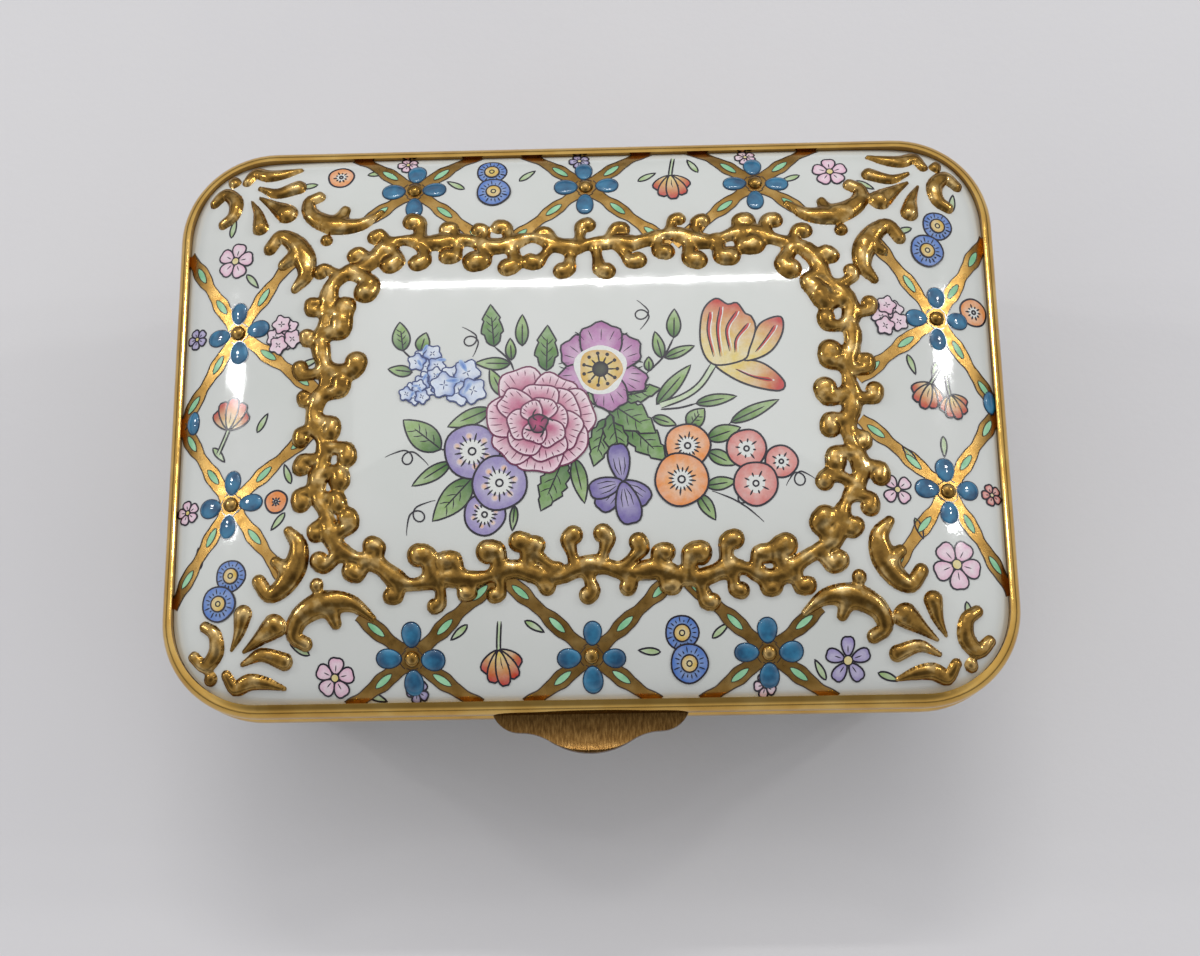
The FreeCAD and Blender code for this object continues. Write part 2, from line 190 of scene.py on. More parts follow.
wall_outline, wall_normals = rounded_outline(BOWL_X, BOWL_Y, BOWL_CORNER, step=0.4)
wall_steps = np.linalg.norm(np.roll(wall_outline, -1, axis=0) - wall_outline, axis=1)
wall_run = np.concatenate([[0], np.cumsum(wall_steps)])
WALL_LENGTH = wall_run[-1]


def on_wall(plan, lift):
    """Points given as (distance round the bowl, height) carried to the bowl's outside."""
    along = np.mod(plan[:, 0], WALL_LENGTH)
    loop = np.vstack([wall_outline, wall_outline[:1]])
    turn = np.vstack([wall_normals, wall_normals[:1]])
    foot = np.column_stack([np.interp(along, wall_run, loop[:, k]) for k in range(2)])
    outward = np.column_stack([np.interp(along, wall_run, turn[:, k]) for k in range(2)])
    outward /= np.linalg.norm(outward, axis=1)[:, None]
    move = np.broadcast_to(lift, len(along)) - BOWL_LEAN * (BOWL_TOP - plan[:, 1])
    return np.column_stack([foot + outward * move[:, None], plan[:, 1]])


# --- mesh helpers ---
def new_mesh(name, points, faces, material):
    """A mesh from points in mm."""
    mesh = bpy.data.meshes.new(name)
    mesh.from_pydata((np.asarray(points, float) * MM).tolist(), [], faces)
    mesh.materials.append(material)
    return mesh


def linked(name, data):
    """A new object of the scene that holds this data."""
    item = bpy.data.objects.new(name, data)
    bpy.context.scene.collection.objects.link(item)
    return item


def mesh_piece(name, points, faces, body, material, colours=None):
    """A new object from points in mm, riding on body."""
    mesh = new_mesh(name, points, faces, material)
    mesh.polygons.foreach_set("use_smooth", [True] * len(mesh.polygons))
    if colours is not None:
        paint = mesh.color_attributes.new("paint", "FLOAT_COLOR", "POINT")
        opaque = np.column_stack([colours, np.ones(len(colours))])
        paint.data.foreach_set("color", opaque.astype(np.float32).ravel())
    mesh.update()
    piece = linked(name, mesh)
    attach(piece, body)
    return piece


def ring_faces(first, second, count):
    """Quads between two closed rings of vertices, facing outwards where first is the outer or lower ring."""
    ahead = [(k + 1) % count for k in range(count)]
    return [(first + k, first + ahead[k], second + ahead[k], second + k) for k in range(count)]


def fan_faces(centre, ring, count, flip=False):
    """Triangles from one vertex to a closed ring of them."""
    faces = [(centre, ring + k, ring + (k + 1) % count) for k in range(count)]
    return [face[::-1] for face in faces] if flip else faces


def smooth_path(points, step=0.2, closed=False):
    """A Catmull-Rom curve through the points, as plan points about step apart."""
    knots = np.array(points, float)
    if closed:
        knots = np.vstack([knots[-1:], knots, knots[:2]])
    else:
        knots = np.vstack([2 * knots[0] - knots[1], knots, 2 * knots[-1] - knots[-2]])
    out = []
    for a, b, c, d in zip(knots, knots[1:], knots[2:], knots[3:]):
        count = max(2, math.ceil(np.linalg.norm((c - b)[:2]) / step))
        for t in np.arange(count) / count:
            out.append(0.5 * (2 * b + (c - a) * t + (2 * a - 5 * b + 4 * c - d) * t**2
                              + (3 * b - a - 3 * c + d) * t**3))
    if not closed:
        out.append(knots[-2])
    return np.array(out)


def placed(local, at, turn=0.0, size=1.0):
    """Local plan points turned by degrees, scaled and moved to a place."""
    angle = math.radians(turn)
    spin = np.array([[math.cos(angle), math.sin(angle)], [-math.sin(angle), math.cos(angle)]])
    return np.asarray(local, float) @ spin * size + np.array(at, float)


def heading(degrees):
    """The unit vector in a direction of the plan."""
    return np.array([math.cos(math.radians(degrees)), math.sin(math.radians(degrees))])


def circle(radius, count=28, wobble=0.0, phase=0.0):
    """A round of plan points, uneven where there is a wobble."""
    angle = np.arange(count) / count * 2 * math.pi
    reach = radius * (1 + wobble * (np.sin(3 * angle + phase) + 0.6 * np.sin(5 * angle + 2.3 * phase)))
    return np.column_stack([reach * np.cos(angle), reach * np.sin(angle)])


def anticlockwise(outline):
    x, y = np.asarray(outline, float).T
    area = np.sum(x * np.roll(y, -1) - y * np.roll(x, -1))
    return np.asarray(outline, float) if area > 0 else np.asarray(outline, float)[::-1]


class Deposit:
    """Thin closed patches and lines of colour, glaze or gilding that lie on one surface.
    Each lies just above whatever is already under it."""

    CELL = 0.28  # size of the squares in which the cover so far is noted

    def __init__(self, surface, step=0.002, floor=FIRST_LIFT):
        self.surface = surface
        self.step = step
        self.floor = floor
        self.cover = {}
        self.points = []
        self.colours = []
        self.faces = []
        self.count = 0

    def stacked(self, plan):
        """The lift just above all that these plan points cover, noted as their cover from now on."""
        cells = set(map(tuple, np.floor(np.asarray(plan) / self.CELL).astype(int).tolist()))
        around = {(i + di, j + dj) for i, j in cells for di in (-1, 0, 1) for dj in (-1, 0, 1)}
        lift = max(self.cover.get(cell, self.floor - self.step) for cell in around) + self.step
        for cell in cells:
            self.cover[cell] = lift
        return lift

    def add(self, plan, lift, colour):
        """Adds vertices over these plan points and returns the first one's number."""
        plan = np.atleast_2d(plan)
        self.points.append(self.surface(plan, lift))
        self.colours.append(np.broadcast_to(colour, (len(plan), 3)))
        self.count += len(plan)
        return self.count - len(plan)

    def patch(self, outline, inner, outer=None, centre=None, bias=1.5, wash=None, crown=0.0, fade=1.5):
        """A closed patch shaded from its centre to its edge, or across by wash = (colour, degrees);
        a higher fade keeps the wash nearer its end. A crown raises the patch's middle into a low dome."""
        outer = inner if outer is None else outer
        outline = anticlockwise(outline)
        centre = outline.mean(axis=0) if centre is None else np.array(centre, float)
        reach = np.linalg.norm(outline - centre, axis=1).max()
        rings = 8 if crown else max(2, math.ceil(reach / 0.4))
        n = len(outline)
        shares = [math.sin(math.pi / 2 * k / rings) if crown else k / rings for k in range(rings + 1)]
        loops = [centre + (outline - centre) * share for share in shares]
        base_lift = self.stacked(np.vstack(loops))

        def tint(plan, share):
            colour = inner + (outer - inner) * share**bias
            if wash is None:
                return colour
            across = (plan - centre) @ heading(wash[1]) / reach
            weight = np.clip(0.5 + 0.6 * across, 0, 1)[:, None] ** fade
            return colour + (wash[0] - colour) * weight

        middle = self.add(centre, base_lift + crown, tint(centre[None], 0.0))
        previous = None
        for share, plan in zip(shares[1:], loops[1:]):
            lift = base_lift + crown * math.sqrt(max(0.0, 1 - share**2))
            ring = self.add(plan, lift, tint(plan, share))
            self.faces += fan_faces(middle, ring, n) if previous is None else ring_faces(ring, previous, n)
            previous = ring
        low = self.add(outline, -PAINT_SINK, outer)
        self.faces += ring_faces(low, previous, n)
        under = self.add(centre, -PAINT_SINK, outer)
        self.faces += fan_faces(under, low, n, flip=True)

    def line(self, path, width=INK_W, colour=INK, closed=False, pointed=True):
        """A closed strip along a path; an open one narrows at its ends unless pointed is False."""
        path = np.asarray(path, float)
        n = len(path)
        if closed:
            along = np.roll(path, -1, axis=0) - np.roll(path, 1, axis=0)
        else:
            along = np.gradient(path, axis=0)
        along /= np.maximum(np.linalg.norm(along, axis=1), 1e-9)[:, None]
        side = leftwards(along)
        half = np.broadcast_to(np.asarray(width, float) / 2, n).copy()
        if pointed and not closed:
            share = np.linspace(0, 1, n)
            half *= np.clip(0.35 + 5 * np.minimum(share, 1 - share), 0, 1)
        columns = max(2, math.ceil(2 * half.max() / 0.3) + 1)
        across = np.linspace(1, -1, columns)
        tracks = [path + side * (half * share)[:, None] for share in across]
        lift = self.stacked(np.vstack(tracks))
        loops = [self.add(track, lift, colour) for track in tracks]
        loops.append(self.add(tracks[-1], -PAINT_SINK, colour))
        loops.append(self.add(tracks[0], -PAINT_SINK, colour))
        for k in range(n if closed else n - 1):
            m = (k + 1) % n
            for first, second in zip(loops, loops[1:] + loops[:1]):
                self.faces.append((first + k, second + k, second + m, first + m))
        if not closed:
            self.faces.append(tuple(loops[::-1]))
            self.faces.append(tuple(loop + n - 1 for loop in loops))

    def outlined(self, outline, inner, outer=None, width=INK_W, ink=INK, **shading):
        """A patch with a line round its edge."""
        self.patch(outline, inner, outer, **shading)
        self.line(outline, width, ink, closed=True)

    def piece(self, name, body, material, slot=None):
        """The object made of all that was laid down."""
        piece = mesh_piece(name, np.vstack(self.points), self.faces, body, material,
                           np.vstack(self.colours))
        piece.data.set_sharp_from_angle(angle=math.radians(50))
        return piece


# --- materials ---
def colour_ramp(nodes, links, factor, stops):
    """The colour from a ramp; each stop is (position, colour)."""
    node = nodes.new("ShaderNodeValToRGB")
    while len(node.color_ramp.elements) < len(stops):
        node.color_ramp.elements.new(0.5)
    for element, (position, colour) in zip(node.color_ramp.elements, stops):
        element.position = position
        element.color = (*colour, 1)
    links.new(factor, node.inputs["Fac"])
    return node.outputs["Color"]


class Look:
    """One procedural material under construction."""

    def __init__(self, name, roughness, metallic=0.0):
        self.material = bpy.data.materials.new(name)
        self.material.use_nodes = True
        self.nodes = self.material.node_tree.nodes
        self.links = self.material.node_tree.links
        self.shader = self.nodes["Principled BSDF"]
        self.shader.inputs["Roughness"].default_value = roughness
        self.shader.inputs["Metallic"].default_value = metallic
        self.place = self.nodes.new("ShaderNodeTexCoord")

    def noise(self, size_mm, detail=3.0, stretch=None):
        """Noise whose features are about size_mm across."""
        node = self.nodes.new("ShaderNodeTexNoise")
        node.inputs["Scale"].default_value = 1 / (size_mm * MM)
        node.inputs["Detail"].default_value = detail
        source = self.place.outputs["Object"]
        if stretch:
            mapping = self.nodes.new("ShaderNodeMapping")
            mapping.inputs["Scale"].default_value = stretch
            self.links.new(source, mapping.inputs["Vector"])
            source = mapping.outputs["Vector"]
        self.links.new(source, node.inputs["Vector"])
        return node.outputs["Fac"]

    def ramp(self, factor, *stops):
        return colour_ramp(self.nodes, self.links, factor, stops)

    def tone(self, size_mm, detail, *stops, stretch=None):
        """Base colour from a ramp over noise."""
        colour = self.ramp(self.noise(size_mm, detail, stretch), *stops)
        self.links.new(colour, self.shader.inputs["Base Color"])

    def span(self, factor, low, high):
        """A number that runs from low to high as the noise factor does."""
        node = self.nodes.new("ShaderNodeMapRange")
        ends = {"From Min": 0.3, "From Max": 0.7, "To Min": low, "To Max": high}
        for socket, value in ends.items():
            node.inputs[socket].default_value = value
        self.links.new(factor, node.inputs["Value"])
        return node.outputs["Result"]

    def mix(self, factor, first, second, blend="MIX"):
        node = self.nodes.new("ShaderNodeMix")
        node.data_type = "RGBA"
        node.blend_type = blend
        for value, socket in ((factor, node.inputs[0]), (first, node.inputs[6]), (second, node.inputs[7])):
            if isinstance(value, bpy.types.NodeSocket):
                self.links.new(value, socket)
            elif isinstance(value, float):
                socket.default_value = value
            else:
                socket.default_value = (*value, 1)
        return node.outputs[2]

    def gloss(self, low, high, size_mm, detail=3.0, stretch=None):
        """Roughness that wanders between low and high."""
        rough = self.span(self.noise(size_mm, detail, stretch), low, high)
        self.links.new(rough, self.shader.inputs["Roughness"])

    def bump(self, height_mm, size_mm, detail, stretch=None):
        """Noise relief on top of any bump already there."""
        node = self.nodes.new("ShaderNodeBump")
        node.inputs["Distance"].default_value = height_mm * MM
        previous = self.shader.inputs["Normal"].links
        if previous:
            self.links.new(previous[0].from_socket, node.inputs["Normal"])
        self.links.new(self.noise(size_mm, detail, stretch), node.inputs["Height"])
        self.links.new(node.outputs["Normal"], self.shader.inputs["Normal"])


def enamel_look(name, pale, grey):
    """Fired white enamel: almost flat colour, a hard gloss with a slight ripple."""
    look = Look(name, 0.05)
    look.tone(6.0, 4.0, (0.3, grey), (0.7, pale))
    look.gloss(0.035, 0.08, 1.5)
    look.bump(0.006, 2.6, 2.0)
    look.bump(0.0015, 0.5, 2.0)
    return look.material


def gilding_look(name, deep, mid, pale, rough_low, rough_high, grain_mm, bump_mm, stretch=None):
    """Gold with a worn, uneven polish."""
    look = Look(name, rough_low, metallic=1.0)
    look.tone(grain_mm * 3, 4.0, (0.3, deep), (0.5, mid), (0.72, pale), stretch=stretch)
    look.gloss(rough_low, rough_high, grain_mm, 5.0, stretch)
    look.bump(bump_mm, grain_mm, 4.0, stretch)
    return look.material


def paint_look():
    """Thin overglaze colour: brushed pigment, thinner in places, under the enamel's gloss."""
    look = Look("overglaze_paint", 0.1)
    pigment = look.nodes.new("ShaderNodeAttribute")
    pigment.attribute_name = "paint"
    strength = look.nodes.new("ShaderNodeRGBToBW")
    look.links.new(pigment.outputs["Color"], strength.inputs["Color"])
    thin = look.nodes.new("ShaderNodeMath")
    thin.operation = "MULTIPLY"
    look.links.new(look.span(look.noise(0.7, 4.0), 0.0, 0.9), thin.inputs[0])
    look.links.new(strength.outputs["Val"], thin.inputs[1])
    washed = look.mix(thin.outputs["Value"], pigment.outputs["Color"], tuple(PAPER))
    grain = look.ramp(look.noise(0.16, 3.0), (0.3, (0.86, 0.86, 0.86)), (0.7, (1.0, 1.0, 1.0)))
    look.links.new(look.mix(0.8, washed, grain, "MULTIPLY"), look.shader.inputs["Base Color"])
    look.gloss(0.07, 0.16, 0.9)
    return look.material


def glaze_look(name, deep, bright):
    """Thick translucent colour, darker where it pools."""
    look = Look(name, 0.06)
    look.tone(1.1, 3.0, (0.32, deep), (0.66, bright))
    look.gloss(0.04, 0.12, 0.6)
    look.shader.inputs["Coat Weight"].default_value = 0.6
    look.shader.inputs["Coat Roughness"].default_value = 0.04
    look.bump(0.01, 0.8, 2.0)
    return look.material


def floor_look():
    """Matt off-white card."""
    look = Look("pale_backdrop", 0.7)
    look.tone(60, 3.0, (0.3, srgb(209, 208, 209)), (0.7, srgb(214, 213, 213)))
    look.bump(0.02, 0.8, 3.0)
    return look.material


WHITE_ENAMEL = enamel_look("white_enamel", srgb(207, 209, 204), srgb(203, 206, 200))
INNER_ENAMEL = enamel_look("inner_enamel", srgb(228, 229, 224), srgb(223, 224, 219))
# Gildings: three colours from worn to bright, lowest and highest roughness, grain and bump in mm.
RAISED_GILT = gilding_look("raised_gilt", srgb(116, 86, 40), srgb(150, 115, 56), srgb(204, 174, 116),
                           0.11, 0.27, 0.35, 0.013)
FLAT_GILT = gilding_look("flat_gilt", srgb(150, 114, 56), srgb(172, 134, 72), srgb(192, 156, 92),
                         0.22, 0.38, 0.5, 0.002)
POLISHED_BRASS = gilding_look("gilt_brass", srgb(196, 152, 74), srgb(210, 168, 88), srgb(222, 184, 106),
                              0.06, 0.15, 0.9, 0.0006)
# The thumb piece's brass has a real brushed grain. Its colours are painted far darker than the other gilt
# brass: painted shade standing for the dark reflection it shows from above.
BRUSHED_BRASS_PAINTED_SHADE = gilding_look("brushed_brass_painted_shade", srgb(72, 50, 24), srgb(94, 68, 34), srgb(120, 92, 52),
                             0.18, 0.36, 0.2, 0.006, stretch=(5.0, 1.0, 1.0))
PIN_BRASS = gilding_look("pin_brass", srgb(176, 140, 74), srgb(196, 160, 90), srgb(208, 176, 110),
                         0.18, 0.34, 0.3, 0.002)
COPPER = gilding_look("copper", srgb(150, 78, 48), srgb(184, 104, 70), srgb(200, 122, 86),
                      0.25, 0.45, 0.5, 0.004)
PAINT = paint_look()
BLUE_GLAZE = glaze_look("blue_enamel", srgb(18, 68, 102), srgb(46, 120, 156))
GREEN_GLAZE = glaze_look("green_enamel", srgb(118, 184, 136), srgb(162, 214, 172))


# --- the enamelled shells ---
LID_RINGS = 64


def lid_face_rings(inset, depth):
    """Rings of the dome's face from the middle to its edge, the whole sunk by depth."""
    outline = rounded_outline(PLATE_X - inset, PLATE_Y - inset, PLATE_CORNER - inset)[0]
    loops = []
    for k in range(1, LID_RINGS + 1):
        plan = outline * math.sin(math.pi / 2 * k / LID_RINGS)
        loops.append(np.column_stack([plan, dome_height(plan[:, 0], plan[:, 1]) - depth]))
    return loops


def closed_shell(loops):
    """Points and faces of a closed body whose rings run from one middle, over the edge, to the other."""
    count = len(loops[0])
    first = loops[0].mean(axis=0)
    last = loops[-1].mean(axis=0)
    points = np.vstack([first[None], *loops, last[None]])
    faces = fan_faces(0, 1, count)
    for k in range(len(loops) - 1):
        faces += ring_faces(1 + (k + 1) * count, 1 + k * count, count)
    faces += fan_faces(len(points) - 1, 1 + (len(loops) - 1) * count, count, flip=True)
    return points, faces


def lid_shell():
    """The lid's outer enamel: the dome's face, an upright edge down to the seat, and the face underneath."""
    upper = lid_face_rings(0.0, 0.0)
    lower = lid_face_rings(OUTER_ENAMEL_T, OUTER_ENAMEL_T)
    edge = upper[-1].copy()
    edge[:, 2] = SEAT_Z
    inner_edge = lower[-1].copy()
    inner_edge[:, 2] = np.minimum(inner_edge[:, 2], SEAT_Z)
    return closed_shell(upper + [edge, inner_edge] + lower[::-1])


def bowl_rings(depth):
    """Rings of the bowl's outside from the middle of its floor to its top edge, depth inside."""
    loops = []
    for inset, z in bowl_profile(depth):
        outline = rounded_outline(BOWL_X - inset, BOWL_Y - inset, BOWL_CORNER - inset)[0]
        loops.append(np.column_stack([outline, np.full(len(outline), z)]))
    middle = [np.column_stack([loops[0][:, :2] * share, loops[0][:, 2]]) for share in (0.3, 0.6, 0.85)]
    return middle + loops


def build_enamel():
    points, faces = lid_shell()
    lid = mesh_piece("lid_face_enamel", points, faces, "lid", WHITE_ENAMEL)
    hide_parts("lid_enamel_outer")
    outer, inner = bowl_rings(0.0), bowl_rings(OUTER_ENAMEL_T)
    points, faces = closed_shell(outer + inner[::-1])
    faces = [face[::-1] for face in faces]
    bowl = mesh_piece("bowl_outer_enamel", points, faces, "base", WHITE_ENAMEL)
    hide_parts("base_enamel_outer")


# --- painted motifs ---
def leaf(paint, base, tip, width, light=LEAF_LIGHT, dark=LEAF_DARK, teeth=0, vein=True):
    """A pointed leaf from base to tip; teeth makes its edge jagged."""
    base, tip = np.array(base, float), np.array(tip, float)
    length = np.linalg.norm(tip - base)
    turn = math.degrees(math.atan2(*(tip - base)[::-1]))
    t = np.linspace(0, 1, 19 if teeth else 13)
    half = width / 2 * np.sin(math.pi * t**0.8) ** 0.85
    if teeth:
        half = half * (1 - 0.28 * np.mod(t * teeth, 1.0) * (t > 0.12) * (t < 0.95))
    upper = np.column_stack([t * length, half])
    lower = np.column_stack([t * length, -0.9 * half])[-2:0:-1]
    outline = placed(np.vstack([upper, lower]), base, turn)
    paint.outlined(outline, light, light * 0.9, wash=(dark, turn + 180), centre=outline.mean(axis=0))
    if vein:
        rib = [(share * length, 0.0) for share in np.linspace(0.0, 0.7, 8)]
        paint.line(placed(rib, base, turn), INK_W * 0.85)
        if width > 1.3:
            for start, side in ((0.18, -1), (0.3, 1), (0.38, -1), (0.47, 1), (0.56, -1), (0.64, 1)):
                twig = np.array([[start, 0.0], [start + 0.07, side * 0.14], [start + 0.14, side * 0.24]])
                paint.line(placed(twig * [length, width], base, turn), INK_W * 0.7)


def stem(paint, points, width=0.0):
    """An ink stem, or with a width a green one edged in ink."""
    path = smooth_path(points)
    if width:
        paint.line(path, width, LEAF_PALE, pointed=False)
        along = np.gradient(path, axis=0)
        along /= np.linalg.norm(along, axis=1)[:, None]
        side = leftwards(along) * width / 2
        paint.line(path + side, INK_W)
        paint.line(path - side, INK_W)
    else:
        paint.line(path, INK_W * 1.1)


TENDRIL_LOOP = 0.42


def tendril(paint, start, end, bow, side):
    """A fine hooked line with one loop in its middle."""
    start, end = np.array(start, float), np.array(end, float)
    t = np.linspace(0, 1, 46)[:, None]
    run = end - start
    across = leftwards(run) / np.linalg.norm(run) * side
    ahead = run / np.linalg.norm(run)
    share = np.clip((t - 0.25) / 0.5, 0, 1)
    turn = 2 * math.pi * (3 * share**2 - 2 * share**3)
    slowed = 0.5 + 0.15 * (t - 0.5) + 3.4 * (t - 0.5) ** 3
    sway = np.sin(math.pi * t) ** 0.7 + 0.25 * np.sin(3 * math.pi * t)
    path = start + run * slowed - across * bow * sway
    path = path + ahead * TENDRIL_LOOP * np.sin(turn) + across * TENDRIL_LOOP * (1 - np.cos(turn))
    paint.line(path, INK_W * 0.85)


def ticks(paint, at, inner, outer, count, width=INK_W, phase=0.0, colour=INK):
    """Short radial strokes round a flower's eye."""
    for k in range(count):
        ray = heading(360 * (k + phase) / count)
        reach = outer * (0.92 + 0.14 * math.sin(2.7 * k))
        paint.line(np.array(at) + ray * np.linspace(inner, reach, 4)[:, None], width, colour)


def round_flower(paint, at, radius, colour, pale, eye=0.45, rays=16, flecks=None, phase=0.0):
    """A flat round bloom with a pale eye, an inked ring in its middle and ink rays."""
    outline = placed(circle(radius, 32, 0.02, phase), at)
    paint.outlined(outline, pale, colour, INK_W * 1.15, bias=1.2)
    paint.patch(placed(circle(radius * eye, 20, 0.06, phase), at), PAPER)
    if flecks is not None:
        for k in range(6):
            angle = 60 * (k + 0.3) + math.degrees(phase)
            spot = np.array(at) + radius * (eye + 0.12) * heading(angle)
            paint.patch(placed(circle(0.14 * radius, 10), spot), flecks, pale)
    ticks(paint, at, radius * (eye - 0.1), radius * (eye + 0.2), rays, phase=phase)
    paint.line(placed(circle(0.13 * radius, 12), at), INK_W, closed=True)


def petal_outline(length, width, notch=0.0, count=18):
    """A rounded petal that starts at the origin and points along x."""
    angle = np.arange(count) / count * 2 * math.pi
    x = length / 2 * (1 - np.cos(angle))
    y = width / 2 * np.sin(angle) * (0.55 + 0.45 * x / length)
    x = x - notch * length * np.exp(-((angle - math.pi) / 0.35) ** 2)
    return np.column_stack([x, y])


def petal_flower(paint, at, radius, count, inner, outer, turn=0.0, width=0.95):
    """A small open flower of separate notched petals round a yellow heart."""
    spread = 2 * math.pi / count
    root = 0.16  # where the petals start, as a share of the radius
    for k in range(count):
        angle = math.degrees(spread * k) + turn
        ray = heading(angle)
        petal = petal_outline(radius * (1 - root), radius * width * min(1.0, spread), 0.06)
        paint.outlined(placed(petal, np.array(at) + ray * radius * root, angle), inner, outer, INK_W)
        paint.line(np.array(at) + ray * np.linspace(0.3, 0.6, 4)[:, None] * radius, INK_W * 0.6)
    paint.outlined(placed(circle(radius * 0.2, 14), at), YELLOW, width=INK_W * 0.8)


def floret_cluster(paint, at, size, colour, pale, seed, count=7, ink=INK):
    """A head of small crinkled florets."""
    rng = np.random.default_rng(seed)
    for k in range(count):
        angle = math.degrees(2.4 * k)
        spot = np.array(at) + size * 0.62 * math.sqrt(k / count) * heading(angle)
        outline = placed(circle(size * 0.42, 26), spot)
        phase = rng.uniform(0, 6)
        swell = 1 + 0.16 * np.sin(5 * np.arange(26) / 26 * 2 * math.pi + phase)
        outline = spot + (outline - spot) * swell[:, None]
        paint.outlined(outline, pale, colour, INK_W * 0.85, ink, wash=(pale, angle))
        ticks(paint, spot, 0.04, size * 0.17, 4, INK_W * 0.6, phase=phase, colour=ink)


def small_tulip(paint, at, size, turn):
    """A red and yellow tulip seen from the side, opening along its local x."""
    def here(points):
        return placed(points, at, turn, size)

    stem(paint, here([(-2.21, 0.35), (-1.2, 0.1), (-0.7, 0)]), 0.2 * size)
    for swing, reach in ((48, 0.95), (-48, 0.95), (24, 1.15), (-24, 1.15), (0, 1.25)):
        petal = placed(petal_outline(1.575 * reach, 0.95, 0.05), (-0.7, 0), swing)
        paint.outlined(here(petal), YELLOW, wash=(RED, turn + swing), fade=1.0)
        streak = placed([(0.35, 0.03), (0.7, 0.0), (1.0, 0.04)], (-0.7, 0), swing)
        paint.line(here(streak), INK_W * 0.6)


def blue_pair(paint, first, second, radius):
    """Two blue blooms with yellow eyes, the second a little larger."""
    for at, share in ((first, 1.0), (second, 1.12)):
        outline = placed(circle(radius * share, 28, 0.02, share), at)
        paint.outlined(outline, BLUE_PALE, BLUE, bias=0.8)
        ticks(paint, at, radius * 0.62, radius * 0.95, 18, INK_W * 0.6)
        paint.outlined(placed(circle(radius * 0.5, 16), at), YELLOW, YELLOW_DEEP, INK_W * 0.9)
        paint.line(placed(circle(radius * 0.16, 10), at), INK_W * 0.8, closed=True)


# --- the bouquet ---
BOUQUET_LEAVES = [  # base, tip, width, teeth
    ((-13.5, 4.0), (-13.8, 6.3), 1.4, 0), ((-12.2, 3.9), (-11.8, 5.4), 1.1, 0),
    ((-12.8, 2.3), (-14.6, 2.6), 0.9, 0), ((-6.7, 4.2), (-7.0, 7.6), 1.8, 3),
    ((-4.6, 4.2), (-4.6, 6.7), 1.0, 0), ((-2.8, 2.2), (-2.7, 5.8), 1.9, 3),
    ((-5.4, 3.1), (-5.5, 4.8), 0.8, 0), ((-5.5, 2.8), (-8.1, 2.9), 1.0, 0),
    ((-6.0, 0.3), (-7.0, 2.4), 1.0, 0), ((-7.0, -0.7), (-10.1, -2.0), 1.3, 0),
    ((-10.6, -3.7), (-13.4, -1.4), 2.1, 0), ((-9.9, -4.7), (-12.7, -6.4), 1.1, 0),
    ((-8.3, -5.9), (-11.2, -9.0), 2.0, 0), ((-5.2, -8.0), (-5.4, -9.8), 0.6, 0),
    ((-1.6, -4.6), (-3.3, -8.4), 2.4, 5), ((-0.8, -4.6), (-0.1, -7.9), 1.2, 0),
    ((5.3, -0.6), (7.9, 2.4), 1.1, 0), ((8.2, -0.6), (11.2, -0.1), 0.9, 0),
    ((7.6, -2.4), (8.8, -1.0), 1.4, 0), ((10.7, -2.1), (14.3, -0.4), 1.0, 0),
    ((9.0, -3.3), (11.4, -2.5), 1.3, 0), ((9.0, -4.3), (10.9, -5.3), 1.1, 0),
    ((8.8, -6.8), (11.0, -6.5), 1.0, 0), ((8.2, -7.4), (9.4, -9.3), 1.0, 0),
    ((6.7, 4.6), (6.8, 6.9), 1.1, 0), ((5.8, 3.0), (5.3, 5.1), 0.9, 0),
    ((6.0, 3.0), (8.2, 3.9), 0.8, 0), ((4.8, 2.0), (4.8, 3.1), 0.7, 0),
    ((-1.4, 2.2), (1.6, -0.8), 1.8, 4), ((5.0, -1.6), (6.7, -2.2), 0.8, 0),
    ((1.6, -1.6), (0.6, -5.2), 2.0, 4), ((2.0, -1.2), (2.6, -5.0), 2.2, 4),
    ((3.0, -1.9), (5.9, -4.9), 2.4, 4), ((1.8, -0.4), (5.2, -2.8), 2.6, 4),
    ((2.4, 0.0), (5.6, 0.6), 1.7, 4),
]


ROSE_PETALS = [  # turn, reach, width, all as shares of the flower's size; the outermost first
    (118, 1.12, 1.05), (62, 0.95, 1.05), (12, 1.02, 1.12), (-42, 1.0, 1.1), (-92, 0.98, 1.1),
    (-140, 0.97, 1.0), (172, 1.0, 0.95), (30, 0.78, 0.95), (-22, 0.8, 0.9), (-75, 0.76, 0.92),
    (-128, 0.72, 0.8), (92, 0.7, 0.9), (146, 0.86, 0.72), (190, 0.6, 0.7), (8, 0.52, 0.66),
    (-52, 0.54, 0.66), (-112, 0.44, 0.56), (72, 0.44, 0.6), (128, 0.42, 0.5),
]


